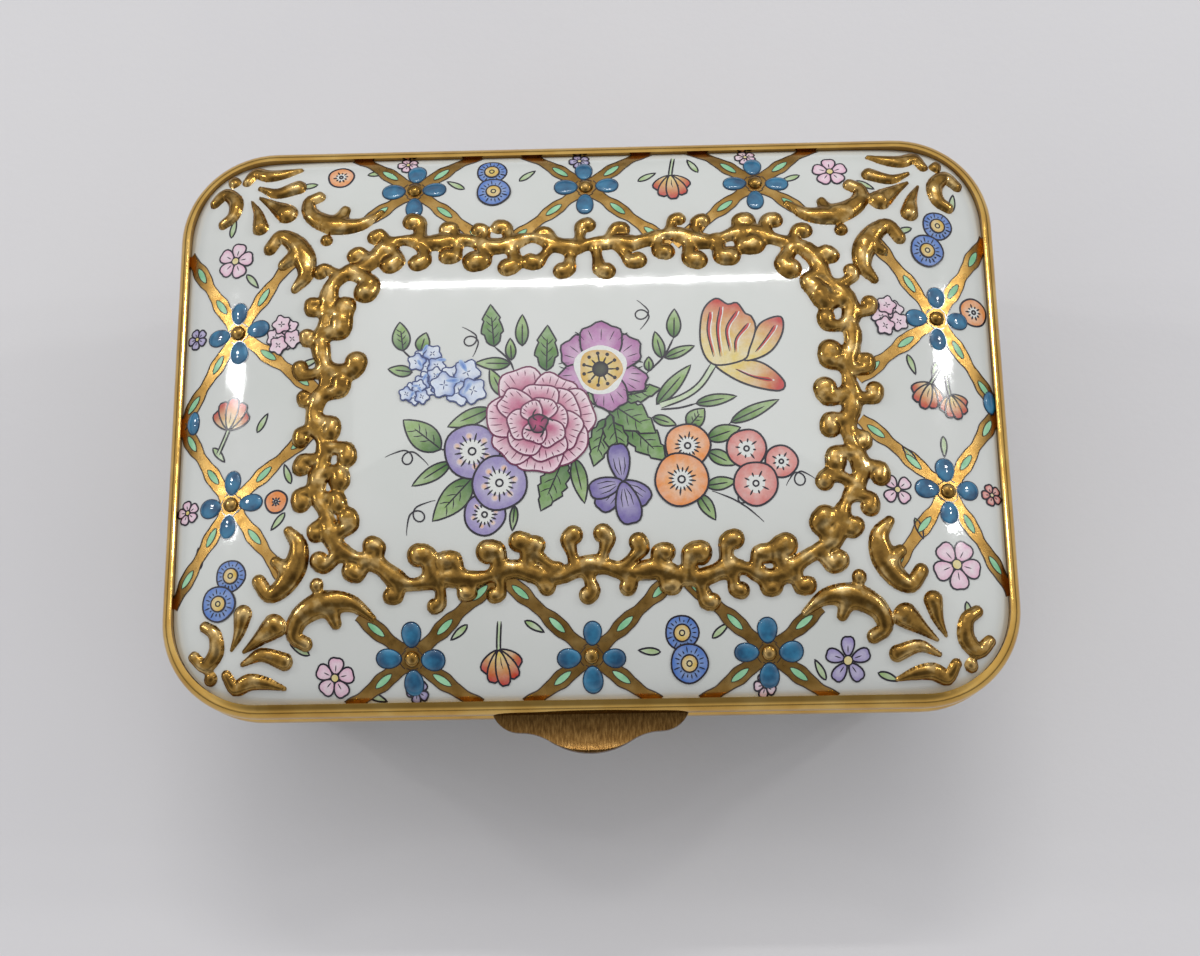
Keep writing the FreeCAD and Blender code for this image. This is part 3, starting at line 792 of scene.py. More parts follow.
def rose(paint, at, size):
    """Overlapping petals round a deep heart, each pale at its rim, where short strokes run inwards."""
    for k, (turn, reach, width) in enumerate(ROSE_PETALS):
        outline = petal_outline(size * reach, size * width, 0.05, 34)
        frill = 1 + 0.022 * np.sin(np.arange(34) / 34 * 2 * math.pi * 5 + 1.7 * k)
        outline = placed(outline * frill[:, None], at, turn)
        root = placed([(0.3 * size * reach, 0.0)], at, turn)[0]
        bias = 2.6 if reach > 0.65 else 1.8
        paint.outlined(outline, ROSE_DEEP, ROSE_PALE, ink=ROSE_INK, centre=root, bias=bias)
        for share in (-0.32, -0.2, -0.07, 0.07, 0.2, 0.32):
            out = 0.93 - 1.5 * share**2
            inner = out - 0.14 - 0.07 * math.sin(11 * share + k)
            hatch = np.array([[inner, share * 0.8], [0.5 * (inner + out), share * 0.92], [out, share]])
            hatch = hatch * [size * reach, size * width]
            paint.line(placed(hatch, at, turn), INK_W * 0.65, ROSE_INK)
    heart = placed([(-0.03 * size, -0.05 * size)], at)[0]
    paint.outlined(placed(circle(size * 0.17, 22, 0.08), heart), ROSE_DEEP, ROSE_INK)
    for turn in (20, 110, 215, 290):
        curl = [(0.05, 0.0), (0.12, 0.05), (0.2, 0.02), (0.26, -0.06)]
        paint.line(placed(smooth_path(curl, 0.05), heart, turn, size), INK_W * 0.9)


ANEMONE_PETALS = [  # turn, reach, width
    (140, 0.92, 1.25), (205, 0.9, 1.2), (-20, 0.98, 0.95), (-70, 0.9, 1.2), (38, 0.95, 1.2), (88, 1.0, 1.5),
]


def anemone(paint, at, size):
    """A wide mauve flower with frilled petals, a pale ring and dark stamens."""
    for k, (turn, reach, width) in enumerate(ANEMONE_PETALS):
        outline = petal_outline(size * reach, size * width * 0.72, 0.0, 30)
        frill = 1 + 0.035 * np.sin(np.arange(30) / 30 * 2 * math.pi * 7 + k) * (outline[:, 0] > size * 0.5)
        outline = placed(outline * frill[:, None], at, turn)
        paint.outlined(outline, MAUVE_PALE, MAUVE, INK_W * 1.1, centre=outline.mean(axis=0))
        for share in (-0.34, -0.17, 0.0, 0.17, 0.34):
            rib = np.array([[0.62, share * 0.75], [0.75, share], [0.86 - 0.2 * abs(share), share * 1.15]])
            paint.line(placed(rib * size * [reach, width * 0.9], at, turn), INK_W * 0.6)
    paint.patch(placed(circle(size * 0.52, 30, 0.05), at), PAPER)
    paint.patch(placed(circle(size * 0.43, 30, 0.05, 1.0), at), YELLOW, YELLOW_DEEP)
    stamens = 11
    ticks(paint, at, size * 0.12, size * 0.34, stamens)
    for k in range(stamens):
        spot = np.array(at) + size * 0.34 * heading(360 * k / stamens)
        paint.patch(placed(circle(0.14, 10), spot), INK)
    paint.outlined(placed(circle(size * 0.15, 16), at), STAMEN_GREEN, INK)


TULIP_PETALS = [  # outline, where its shading starts, direction of its red tip
    ([(9.7, 2.4), (11.0, 1.3), (12.6, 0.6), (14.4, 0.3), (14.8, 0.9), (14.0, 1.9), (12.8, 2.6), (11.0, 2.7)],
     (12.2, 1.7), -20),
    ([(11.8, 2.8), (12.6, 4.6), (13.3, 5.7), (14.7, 6.1), (14.8, 4.9), (14.0, 3.5), (12.8, 2.8)],
     (13.1, 4.2), 60),
    ([(9.6, 2.4), (8.7, 4.0), (8.9, 6.6), (9.9, 7.7), (10.8, 7.2), (11.5, 7.3), (12.1, 6.4), (12.5, 6.2),
      (12.8, 5.2), (12.3, 3.6), (11.8, 2.7)], (10.8, 4.6), 80),
]
TULIP_STREAKS = [
    [(9.4, 6.6), (9.2, 5.0), (9.6, 3.0)], [(10.2, 7.0), (9.9, 5.2), (10.1, 3.0)],
    [(11.4, 6.6), (10.6, 5.2), (10.8, 3.4)], [(12.2, 5.6), (11.3, 4.4), (11.2, 3.3)],
    [(14.2, 5.4), (13.4, 4.2), (12.7, 3.3)], [(13.8, 1.1), (12.4, 1.4), (11.2, 2.0)],
]


def large_tulip(paint):
    """A streaked tulip on a curved stem."""
    stem(paint, [(9.6, 2.4), (8.6, 0.9), (7.4, 0.0), (5.6, -0.7)], 0.42)
    for knots, centre, turn in TULIP_PETALS:
        outline = smooth_path(knots, 0.3, closed=True)
        paint.outlined(outline, YELLOW, width=INK_W * 1.1, centre=centre, wash=(RED, turn), fade=2.2)
    for knots in TULIP_STREAKS:
        streak = smooth_path(knots)
        for shift, wide, colour in ((0.24, 0.2, PAPER), (0.1, 0.36, RED)):
            paint.line(streak + [shift, 0], np.linspace(wide, 0.03, len(streak)), colour)
        paint.line(streak, INK_W * 0.8)


VIOLET_PETALS = [  # turn, reach, width
    (98, 1.15, 0.95), (228, 1.05, 0.95), (196, 1.0, 0.9), (-38, 0.95, 0.95), (-78, 1.25, 1.1),
]


def violet(paint, at, size):
    """A violet of five veined petals."""
    for turn, reach, width in VIOLET_PETALS:
        outline = placed(petal_outline(size * reach, size * width * 0.8, 0.05, 22), at, turn)
        paint.outlined(outline, LILAC_PALE, VIOLET, INK_W * 1.1, wash=(VIOLET, turn))
        for share in (-0.14, 0.0, 0.14):
            rib = placed(np.array([[0.2, share * 0.4], [0.42, share], [0.7, share * 1.1]]) * size, at, turn)
            paint.line(rib, INK_W * 0.7)


def blue_spray(paint):
    """Four heads of blue florets with a few darker petals."""
    heads = ((-11.7, 3.2, 1.5), (-11.4, 1.5, 1.4), (-12.6, 0.7, 1.2), (-9.3, 1.4, 2.2))
    for k, (x, y, size) in enumerate(heads):
        floret_cluster(paint, (x, y), size, BLUE, BLUE_WHITE, k + 3, 6, BLUE_INK)
        for j in range(3):
            spot = np.array([x, y]) + 0.45 * size * heading(math.degrees(2.1 * j + k))
            paint.patch(placed(petal_outline(0.5 * size, 0.22 * size), spot, 60 * j), BLUE, BLUE_PALE)


BOUQUET_STEMS = [
    [(-13.5, 4.0), (-12.7, 3.2)], [(-10.6, -3.7), (-9.9, -3.8)], [(-6.7, 4.2), (-5.6, 3.1), (-5.2, 2.2)],
    [(6.7, 4.6), (5.9, 3.1), (4.6, 1.8)], [(8.2, -0.6), (7.0, -0.9), (5.6, -1.0)],
    [(10.7, -2.1), (10.0, -2.9), (9.2, -3.4)],
]
BOUQUET_TENDRILS = [  # start, end, bow, side of the loop
    ((-9.1, 5.8), (-8.3, 3.4), 0.8, -1), ((-14.7, -4.2), (-11.5, -4.9), 0.8, -1),
    ((-11.0, -7.5), (-13.1, -10.0), 0.8, 1), ((4.0, 7.7), (4.2, 5.3), 0.8, -1),
    ((16.7, -6.4), (14.6, -6.9), 0.8, 1), ((9.2, -7.2), (12.9, -9.5), -0.3, 1),
]


def bouquet():
    """The painting in the lid's middle, laid down from the back of the bunch to its front."""
    paint = Deposit(on_dome, step=0.0012)
    for knots in BOUQUET_STEMS:
        stem(paint, knots)
    for base, tip, width, teeth in BOUQUET_LEAVES:
        leaf(paint, base, tip, width, light=LEAF_SHADED if teeth else LEAF_LIGHT, teeth=teeth)
    for start, end, bow, side in BOUQUET_TENDRILS:
        tendril(paint, start, end, bow, side)
    blue_spray(paint)
    large_tulip(paint)
    anemone(paint, (1.2, 2.2), 3.7)
    for x, y, radius, phase in ((-7.4, -8.6, 1.5, 1.0), (-8.3, -3.9, 2.05, 0.4), (-6.3, -6.3, 2.0, 2.0)):
        round_flower(paint, (x, y), radius, LILAC, LILAC_PALE, flecks=ORANGE_PALE, phase=phase)
    rose(paint, (-3.3, -1.7), 4.1)
    violet(paint, (2.7, -6.4), 2.6)
    round_flower(paint, (7.5, -3.8), 1.65, ORANGE, ORANGE_PALE, eye=0.42, phase=0.6)
    round_flower(paint, (7.0, -6.3), 1.95, ORANGE, ORANGE_PALE, eye=0.38, phase=1.7)
    for x, y, radius in ((14.3, -5.1, 1.2), (11.8, -4.1, 1.45), (12.4, -6.7, 1.6)):
        round_flower(paint, (x, y), radius, SALMON, SALMON_PALE, eye=0.42, rays=8, phase=x)
    paint.piece("painted_bouquet", "lid", PAINT)


# --- the border ---
SIDE_BEADS = [(x, y) for x in (-26.5, 26.7) for y in (6.5, -7.0)]
BACK_BEADS = [(x, 18.1) for x in (-13.2, 0.2, 13.4)]
FRONT_BEADS = [(x, -18.7) for x in (-12.9, 0.2, 13.1)]
RIM_BEADS = [(-30.4, -0.2), (31.0, 0.3)]


LOZENGE_PITCH = 3.5


def ribbon(gilding, glaze, edging, start, end, first_wide=3.3):
    """A flat gilt ribbon that swells round each green lozenge, edged in brown."""
    start, end = np.array(start, float), np.array(end, float)
    length = np.linalg.norm(end - start)
    share = np.linspace(0, 1, max(6, int(length / 0.2)))[:, None]
    run = (end - start) / length
    across = leftwards(run)
    path = start + (end - start) * share
    along = share[:, 0] * length
    half = 0.40 + 0.22 * np.cos(math.pi * (along - first_wide) / LOZENGE_PITCH) ** 2
    half += 0.02 * np.sin(5.1 * along + start[0]) + 0.25 * np.exp(-((along / 1.2) ** 2))
    gilding.line(path, 2 * half, NO_TINT, pointed=False)
    for side in (1, -1):
        edging.line(path + across * side * half[:, None], 0.07, BROWN_INK, pointed=False)
    place = first_wide
    while place < length - 0.5:
        turn = math.degrees(math.atan2(run[1], run[0]))
        t = np.arange(16) / 16 * 2 * math.pi
        gem = np.column_stack([0.78 * np.cos(t), 0.25 * np.sin(t) * np.abs(np.sin(t)) ** 0.3])
        gem = placed(gem, start + run * place, turn + 4 * math.sin(place + start[0]))
        glaze.patch(gem, NO_TINT)
        edging.line(gem, 0.06, BROWN_INK, closed=True)
        place += LOZENGE_PITCH


def trellis():
    """The gilt trellis round the lid's border, with its green lozenges and brown edging."""
    gilding = Deposit(on_dome)
    glaze = Deposit(on_dome, floor=GLAZE_LIFT)
    edging = Deposit(on_dome, floor=EDGING_LIFT)
    for beads, side in ((BACK_BEADS, 1), (FRONT_BEADS, -1)):
        for x, y in beads:
            for way in (1, -1):
                meets_scroll = x * way > 12
                reach = (3.8, 3.1) if meets_scroll else (6.4, 5.7)
                ribbon(gilding, glaze, edging, (x, y), (x + way * reach[0], y - side * reach[1]))
                ribbon(gilding, glaze, edging, (x, y), (x + way * 4.8, side * 22.0), first_wide=2.6)
    for x, y in SIDE_BEADS:
        side = 1 if x > 0 else -1
        way = 1 if y > 0 else -1
        ribbon(gilding, glaze, edging, (x, y), (x - side * 6.4, y - way * 5.2))
        ribbon(gilding, glaze, edging, (x, y), (x - side * 4.8, y + way * 6.3))
        ribbon(gilding, glaze, edging, (x, y), (x + side * 4.6, y - way * 6.8), first_wide=2.8)
        ribbon(gilding, glaze, edging, (x, y), (x + side * 4.6, y + way * 7.3), first_wide=2.8)
    gilding.piece("trellis_gilding", "lid", FLAT_GILT, "raised_gilt")
    glaze.piece("trellis_lozenges", "lid", GREEN_GLAZE)
    edging.piece("trellis_edging", "lid", PAINT)


def petal_oval(length, width):
    """An egg-shaped petal about its own middle, fuller towards its outer end."""
    t = np.arange(26) / 26 * 2 * math.pi
    return np.column_stack([length / 2 * np.cos(t), width / 2 * np.sin(t) * (1 + 0.12 * np.cos(t))])


def blue_petal(petals, edging, at, turn, reach, size, crown=0.16, edge=1.09):
    """A raised petal out from a crossing, with a dark edge round its foot."""
    petal = placed(petal_oval(*size), np.array(at) + heading(turn) * reach, turn)
    petals.patch(petal, NO_TINT, crown=crown)
    middle = petal.mean(axis=0)
    edging.patch((petal - middle) * edge + middle, PETAL_INK)


def bead(beads, at, rise):
    """A gilt bead on a crossing."""
    beads.patch(placed(circle(0.57, 24), at), NO_TINT, crown=rise)


def bead_and_petals():
    """A gilt bead and four uneven blue petals at each crossing on the lid, and a petal at each side rim."""
    beads = Deposit(on_dome, floor=GLAZE_LIFT)
    petals = Deposit(on_dome, floor=PETAL_LIFT)
    edging = Deposit(on_dome, floor=GLAZE_LIFT)
    rng = np.random.default_rng(5)
    for at in SIDE_BEADS + BACK_BEADS + FRONT_BEADS:
        for turn in range(0, 360, 90):
            reach = 1.62 + rng.uniform(-0.08, 0.08)
            lean = rng.uniform(-6, 6)
            size = 1.72 + rng.uniform(-0.12, 0.12), 1.32 + rng.uniform(-0.1, 0.1)
            blue_petal(petals, edging, at, turn + lean, reach, size)
        bead(beads, at, 0.42)
    for x, y in RIM_BEADS:
        blue_petal(petals, edging, (x, y), 0, -math.copysign(0.4, x), (1.0, 1.7), crown=0.14, edge=1.1)
    blue = petals.piece("border_petals", "lid", BLUE_GLAZE, "blue_enamel")
    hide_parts("blue_petals")
    gold = beads.piece("border_beads", "lid", RAISED_GILT, "raised_gilt")
    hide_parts("gilt_beads")
    edging.piece("petal_edging", "lid", PAINT)


def little_leaf(paint, x, y, turn, length=1.6, width=0.5):
    tip = np.array([x, y]) + heading(turn) * length
    leaf(paint, (x, y), tip, width, LEAF_PALE, LEAF_LIGHT, vein=False)


def border_flowers():
    """Small flowers scattered in the openings of the trellis."""
    paint = Deposit(on_dome, step=0.003)

    for x, y, turn in ((-17.0, 19.9, 10), (-20.9, 19.0, 190), (-5.0, 18.9, 40), (-9.3, 18.2, 150),
                       (4.3, 18.6, 30), (9.0, 19.4, 120), (21.2, 18.1, -30), (16.9, 18.8, 200),
                       (-27.5, 14.6, 80), (-26.0, 11.2, -50), (-21.4, 3.2, 20), (-24.6, -1.6, 60),
                       (-28.2, -2.4, -50), (-21.8, -5.8, 110), (-22.2, -8.0, 230), (-28.8, -11.6, 100),
                       (-20.4, -18.3, 150), (-16.4, -21.0, -20), (-8.8, -16.4, 220), (-4.6, -16.2, -30),
                       (5.2, -18.5, 175), (9.0, -17.6, 40), (17.2, -20.6, 120), (21.0, -20.2, -20),
                       (28.6, 15.6, 80), (25.2, 13.8, 200), (24.2, 3.4, -70), (26.4, 3.0, -100),
                       (26.6, -2.8, -90), (24.4, -5.0, 130), (24.0, -9.2, -70), (27.6, -15.2, -80)):
        little_leaf(paint, x, y, turn)
    round_flower(paint, (-19.1, 19.7), 1.0, ORANGE, ORANGE_PALE, eye=0.4, rays=10, phase=0.3)
    blue_pair(paint, (-7.2, 19.9), (-7.0, 17.8), 1.15)
    small_tulip(paint, (6.9, 18.2), 1.25, -85)
    for x, y, radius, turn, count in ((19.3, 19.1, 1.4, 20, 5), (-27.0, 12.5, 1.5, 75, 5),
                                      (-18.6, -19.9, 1.45, 10, 5), (22.8, -7.1, 1.2, 40, 4),
                                      (27.0, -12.5, 1.9, 60, 5), (-30.1, -7.2, 0.95, 30, 5)):
        petal_flower(paint, (x, y), radius, count, PINK_PALE, PINK, turn)
    for x, y, seed in ((-22.7, 5.9, 1), (23.0, 6.4, 2)):
        floret_cluster(paint, (x, y), 1.6, PINK, PINK_PALE, seed, 8)
    small_tulip(paint, (-26.8, -0.2), 1.3, 80)
    round_flower(paint, (-22.9, -7.1), 0.85, ORANGE, ORANGE, eye=0.28, rays=8)
    blue_pair(paint, (-26.3, -12.4), (-27.2, -14.4), 1.15)
    small_tulip(paint, (-6.4, -19.1), 1.3, -80)
    blue_pair(paint, (6.8, -17.2), (7.3, -19.3), 1.2)
    petal_flower(paint, (18.8, -19.3), 1.7, 5, LILAC_PALE, LILAC, 90, width=0.7)
    blue_pair(paint, (27.3, 14.2), (26.3, 12.0), 1.15)
    small_tulip(paint, (25.6, 0.5), 1.1, -110)
    small_tulip(paint, (27.6, -0.2), 1.0, -70)
    round_flower(paint, (29.8, 7.4), 1.1, ORANGE, ORANGE_PALE, eye=0.4, rays=10)
    for x, y, colour, pale in ((-13.9, 20.9, PINK, PINK_PALE), (-0.3, 20.9, VIOLET, LILAC_PALE),
                               (12.8, 20.9, PINK, PINK_PALE), (-30.0, 6.6, LILAC, LILAC_PALE),
                               (-12.6, -20.9, VIOLET, LILAC_PALE), (12.8, -20.9, PINK, PINK_PALE),
                               (30.2, -7.0, RED, SALMON_PALE)):
        petal_flower(paint, (x, y), 0.85, 5, pale, colour, 40)
    paint.piece("painted_border_flowers", "lid", PAINT)


# --- the bowl's outside ---
WALL_BEADS = 14  # crossings round the bowl
WALL_MID_Z = 9.4  # their height
WALL_TRELLIS_TOP = 16.7
WALL_TRELLIS_LOW = 2.4
BACK_MIDDLE = math.pi / 2 * BOWL_CORNER + BOWL_X - BOWL_CORNER  # the back's middle, as distance round


def wall_flower(paint, kind, u):
    """One of the border's flowers in an opening of the bowl's trellis."""
    at = (u, WALL_MID_Z)
    if kind == 0:
        petal_flower(paint, at, 2.0, 5, PINK_PALE, PINK, 18)
    elif kind == 1:
        blue_pair(paint, (u - 0.2, WALL_MID_Z + 1.2), (u + 0.2, WALL_MID_Z - 1.2), 1.3)
    elif kind == 2:
        small_tulip(paint, (u, WALL_MID_Z + 0.6), 1.5, 90)
    elif kind == 3:
        round_flower(paint, at, 1.4, ORANGE, ORANGE_PALE, eye=0.4, rays=12)
    elif kind == 4:
        floret_cluster(paint, at, 2.1, PINK, PINK_PALE, 4, 8)
    elif kind == 5:
        petal_flower(paint, at, 2.0, 5, LILAC_PALE, LILAC, 90, width=0.7)
    else:
        round_flower(paint, at, 1.5, LILAC, LILAC_PALE, flecks=ORANGE_PALE)
    for side, rise, turn in ((-1, 1.6, 150), (1, 1.3, 35), (-1, -1.6, 220), (1, -1.8, -30)):
        little_leaf(paint, u + side * 2.2, WALL_MID_Z + rise, turn, 1.7, 0.6)


def wall_decoration():
    """The lid's trellis carried on round the bowl, with a flower in each opening."""
    gilding = Deposit(on_wall)
    glaze = Deposit(on_wall, floor=GLAZE_LIFT)
    edging = Deposit(on_wall, floor=EDGING_LIFT)
    petals = Deposit(on_wall, floor=PETAL_LIFT)
    beads = Deposit(on_wall, floor=GLAZE_LIFT)
    flowers = Deposit(on_wall)
    pitch = WALL_LENGTH / WALL_BEADS
    for k in range(WALL_BEADS):
        u = BACK_MIDDLE + k * pitch
        for way in (1, -1):
            for z in (WALL_TRELLIS_TOP, WALL_TRELLIS_LOW):
                ribbon(gilding, glaze, edging, (u, WALL_MID_Z), (u + way * pitch / 2, z))
        for turn in range(0, 360, 90):
            blue_petal(petals, edging, (u, WALL_MID_Z), turn, 1.66, (1.8, 1.35))
        bead(beads, (u, WALL_MID_Z), 0.4)
        point = placed(petal_oval(2.3, 1.3), (u + pitch / 2, WALL_TRELLIS_LOW), 90)
        gilding.patch(point, NO_TINT)
        wall_flower(flowers, k % 7, u + pitch / 2)
    gilding.piece("wall_trellis_gilding", "base", FLAT_GILT, "raised_gilt")
    glaze.piece("wall_trellis_lozenges", "base", GREEN_GLAZE)
    edging.piece("wall_trellis_edging", "base", PAINT)
    petals.piece("wall_petals", "base", BLUE_GLAZE, "blue_enamel")
    beads.piece("wall_beads", "base", RAISED_GILT, "raised_gilt")
    flowers.piece("wall_flowers", "base", PAINT)


# --- raised gilding ---
RELIEF_STEP = 0.11  # spacing of the grid that the relief's mesh is cut from
RELIEF_BLEND = 0.13  # how softly strokes run together
RELIEF_SINK = 0.15  # depth its underside is buried


def relief_field(strokes, low, shape):
    """Depth inside the strokes' smooth union and the local stroke radius, on a plan grid."""
    total = np.zeros(shape)
    weighted = np.zeros(shape)
    for path, radii in strokes:
        margin = radii.max() + 0.9
        first = np.maximum(((path.min(axis=0) - margin - low) / RELIEF_STEP).astype(int), 0)
        last = np.minimum(((path.max(axis=0) + margin - low) / RELIEF_STEP).astype(int) + 1, shape)
        xs = low[0] + RELIEF_STEP * np.arange(first[0], last[0])
        ys = low[1] + RELIEF_STEP * np.arange(first[1], last[1])
        x, y = np.meshgrid(xs, ys, indexing="ij")
        best = np.full(x.shape, 99.0)
        radius = np.ones(x.shape)
        for a, b, ra, rb in zip(path, path[1:], radii, radii[1:]):
            run = b - a
            share = np.clip(((x - a[0]) * run[0] + (y - a[1]) * run[1]) / (run @ run), 0, 1)
            thick = ra + (rb - ra) * share
            gap = np.hypot(x - a[0] - run[0] * share, y - a[1] - run[1] * share) - thick
            nearer = gap < best
            best[nearer] = gap[nearer]
            radius[nearer] = thick[nearer]
        weight = np.exp(-best / RELIEF_BLEND)
        window = (slice(first[0], last[0]), slice(first[1], last[1]))
        total[window] += weight
        weighted[window] += weight * radius
    depth = RELIEF_BLEND * np.log(np.maximum(total, 1e-30))
    return depth, weighted / np.maximum(total, 1e-30)


def relief_mesh(strokes):
    """A closed mesh of rounded raised strokes on the dome, blended where they meet."""
    every = np.vstack([path for path, _ in strokes])
    low = every.min(axis=0) - 2
    shape = tuple(np.ceil((every.max(axis=0) + 2 - low) / RELIEF_STEP).astype(int))
    depth, radius = relief_field(strokes, low, shape)
    grid = np.stack(np.meshgrid(*(low[k] + RELIEF_STEP * np.arange(shape[k]) for k in range(2)),
                                indexing="ij"), axis=-1)
    slope = np.stack(np.gradient(depth, RELIEF_STEP), axis=-1)
    steep = np.maximum((slope**2).sum(axis=-1), 0.2)
    near = np.abs(depth) < 0.6 * RELIEF_STEP
    grid[near] -= (slope * (depth / steep)[..., None])[near]
    inside = (depth > 0) & ~near
    share = np.clip(depth / np.maximum(radius, 0.1), 0, 1)
    height = (0.16 + 0.5 * radius) * (1 - (1 - share) ** 2) ** 0.6
    swell = 1 + 0.07 * np.sin(3.1 * grid[..., 0] + 1.7 * grid[..., 1]) * np.sin(2.3 * grid[..., 1])
    lift = np.where(inside, height * swell, np.where(near, -0.005, -0.05))
    keep = depth > -1.2 * RELIEF_STEP
    cells = keep[:-1, :-1] & keep[1:, :-1] & keep[1:, 1:] & keep[:-1, 1:]
    wanted = inside | near
    cells &= wanted[:-1, :-1] | wanted[1:, :-1] | wanted[1:, 1:] | wanted[:-1, 1:]
    number = np.arange(depth.size).reshape(depth.shape)
    quads = np.stack([number[:-1, :-1], number[1:, :-1], number[1:, 1:], number[:-1, 1:]], axis=-1)[cells]
    used, flat = np.unique(quads, return_inverse=True)
    quads = flat.reshape(-1, 4)
    plan = grid.reshape(-1, 2)[used]
    top = on_dome(plan, lift.ravel()[used])
    bottom = on_dome(plan, -RELIEF_SINK)
    count = len(used)
    starts = quads.ravel()
    ends = np.roll(quads, -1, axis=1).ravel()
    backward = set((ends.astype(np.int64) * count + starts).tolist())
    open_edges = [(a, b) for a, b in zip(starts.tolist(), ends.tolist()) if a * count + b not in backward]
    walls = [(b, a, a + count, b + count) for a, b in open_edges]
    faces = quads.tolist() + (quads[:, ::-1] + count).tolist() + walls
    return np.vstack([top, bottom]), faces


def stroke(points, radii, step=0.35):
    """A smooth stroke through points, its radius running through radii."""
    path = smooth_path(np.column_stack([points, radii]), step)
    return path[:, :2], np.maximum(path[:, 2], 0.08)


def frame_trunk():
    """The wavy stem of the gilt frame: a rounded rectangle that bows in along its sides."""
    half_x, half_y, corner = 19.7, 13.2, 7.5
    outline, normals = rounded_outline(half_x, half_y, corner, step=0.4, arc_steps=30)
    run = np.concatenate([[0], np.cumsum(np.linalg.norm(np.diff(outline, axis=0), axis=1))])
    wave = 0.28 * np.sin(2 * math.pi * run / 5.3) + 0.2 * np.sin(2 * math.pi * run / 8.9 + 1)
    bow = 0.5 * np.exp(-(outline[:, 0] / 7) ** 2) * (np.abs(outline[:, 1]) > 9)
    return outline + normals * (wave - bow)[:, None], normals, run


def club(root, tip, bend, ball, neck=None):
    """A bud on a curved neck: narrow at its root, hooked and round at its tip."""
    root, tip = np.array(root, float), np.array(tip, float)
    run = tip - root
    side = leftwards(run)
    neck = 0.68 * ball if neck is None else neck
    middle = root + run * 0.45 + side * bend
    near_tip = root + run * 0.85 + side * bend * 1.1
    hook = near_tip - side / np.linalg.norm(side) * math.copysign(0.55 * ball, bend) + run * 0.12
    return stroke([root, middle, near_tip, hook], [neck, neck, ball * 0.9, ball], 0.3)


CREST_HALF_W = 4.2


def frame_clubs(rng):
    """Buds along both sides of the frame's stem."""
    trunk, normals, run = frame_trunk()
    strokes = []
    for side, spacing, reach_mean, ball_mean in ((-1, 2.35, 1.8, 0.84), (1, 2.4, 1.5, 0.68)):
        place = 0.8 if side > 0 else 0.0
        while place < run[-1] - 1.0:
            k = int(np.argmin(np.abs(run - place)))
            ahead = leftwards(normals[k])
            lean = 1 if trunk[k] @ ahead > 0 else -1
            swell = 1 + 0.25 * math.sin(place * 0.9)
            ball = ball_mean * rng.uniform(0.82, 1.15)
            reach = reach_mean * swell * rng.uniform(0.85, 1.1)
            tip = trunk[k] + side * normals[k] * reach + ahead * lean * rng.uniform(0.2, 0.8)
            if abs(trunk[k][0]) > CREST_HALF_W or abs(normals[k][0]) > 0.5:
                strokes.append(club(trunk[k], tip, lean * side * rng.uniform(-0.3, -0.05), ball))
            crowded = side < 0 and min(abs(normals[k])) > 0.3
            place += spacing * rng.uniform(0.85, 1.15) * (1.6 if crowded else 1.0)
    return strokes


def crests():
    """The taller sprays at the middle of each long side."""
    strokes = []
    for way in (1, -1):
        y = 12.5 * way
        for x, reach, lean in ((-1.1, 2.3, -0.2), (1.2, 2.4, 0.3), (-3.3, 1.5, -0.6), (3.5, 1.6, 0.5)):
            strokes.append(club((x * 0.75, y), (x + lean, y - way * reach), -0.12 * lean, 0.72, 0.42))
        for x, reach, lean in ((-2.6, 1.3, -0.5), (-0.3, 2.0, 0.5), (2.2, 1.5, 0.8)):
            ball = 0.56 + 0.06 * reach
            strokes.append(club((x * 0.8, y), (x + lean, y + way * reach), 0.2 * lean, ball, 0.42))
    return strokes


CORNER_STROKES = [  # in the corner at the back right: points, then radii
    ([(15.6, 15.9), (17.2, 14.8), (19.2, 14.8), (20.9, 15.7), (21.4, 17.0), (20.6, 17.6)],
     [0.26, 0.6, 0.86, 0.72, 0.55, 0.52]),
    ([(18.9, 15.2), (18.5, 16.2)], [0.6, 0.42]),
    ([(24.2, 13.0), (23.4, 14.0), (22.3, 13.4), (21.4, 12.0), (21.2, 10.5), (22.0, 9.4)],
     [0.58, 0.62, 0.82, 0.95, 0.72, 0.4]),
    ([(22.0, 12.3), (22.9, 11.6)], [0.6, 0.45]),
    ([(29.2, 18.0), (28.3, 18.7), (27.4, 17.8), (27.5, 16.5), (28.3, 15.9)], [0.46, 0.56, 0.66, 0.56, 0.46]),
    ([(26.6, 19.6), (26.0, 20.5), (24.9, 20.1), (23.7, 20.2), (22.3, 20.6)], [0.4, 0.5, 0.58, 0.46, 0.16]),
    ([(25.5, 18.9), (24.0, 18.3), (22.4, 18.8)], [0.18, 0.46, 0.62]),
    ([(25.3, 18.0), (24.2, 17.2), (23.0, 16.3)], [0.14, 0.46, 0.9]),
    ([(26.1, 17.7), (25.5, 16.5), (25.2, 15.2)], [0.12, 0.42, 0.7]),
    ([(27.8, 19.8), (27.85, 19.85)], [0.5, 0.5]),
    ([(19.6, 13.4), (19.65, 13.45)], [0.5, 0.5]),
]


def corner_strokes(rng):
    """The scrolls and drops of all four corners, mirrored from one and slightly varied."""
    strokes = []
    for sign_x in (1, -1):
        for sign_y in (1, -1):
            for points, radii in CORNER_STROKES:
                mirrored = np.array(points) * [sign_x, sign_y] + rng.uniform(-0.12, 0.12, 2)
                strokes.append(stroke(mirrored, np.array(radii) * rng.uniform(0.93, 1.07)))
    return strokes


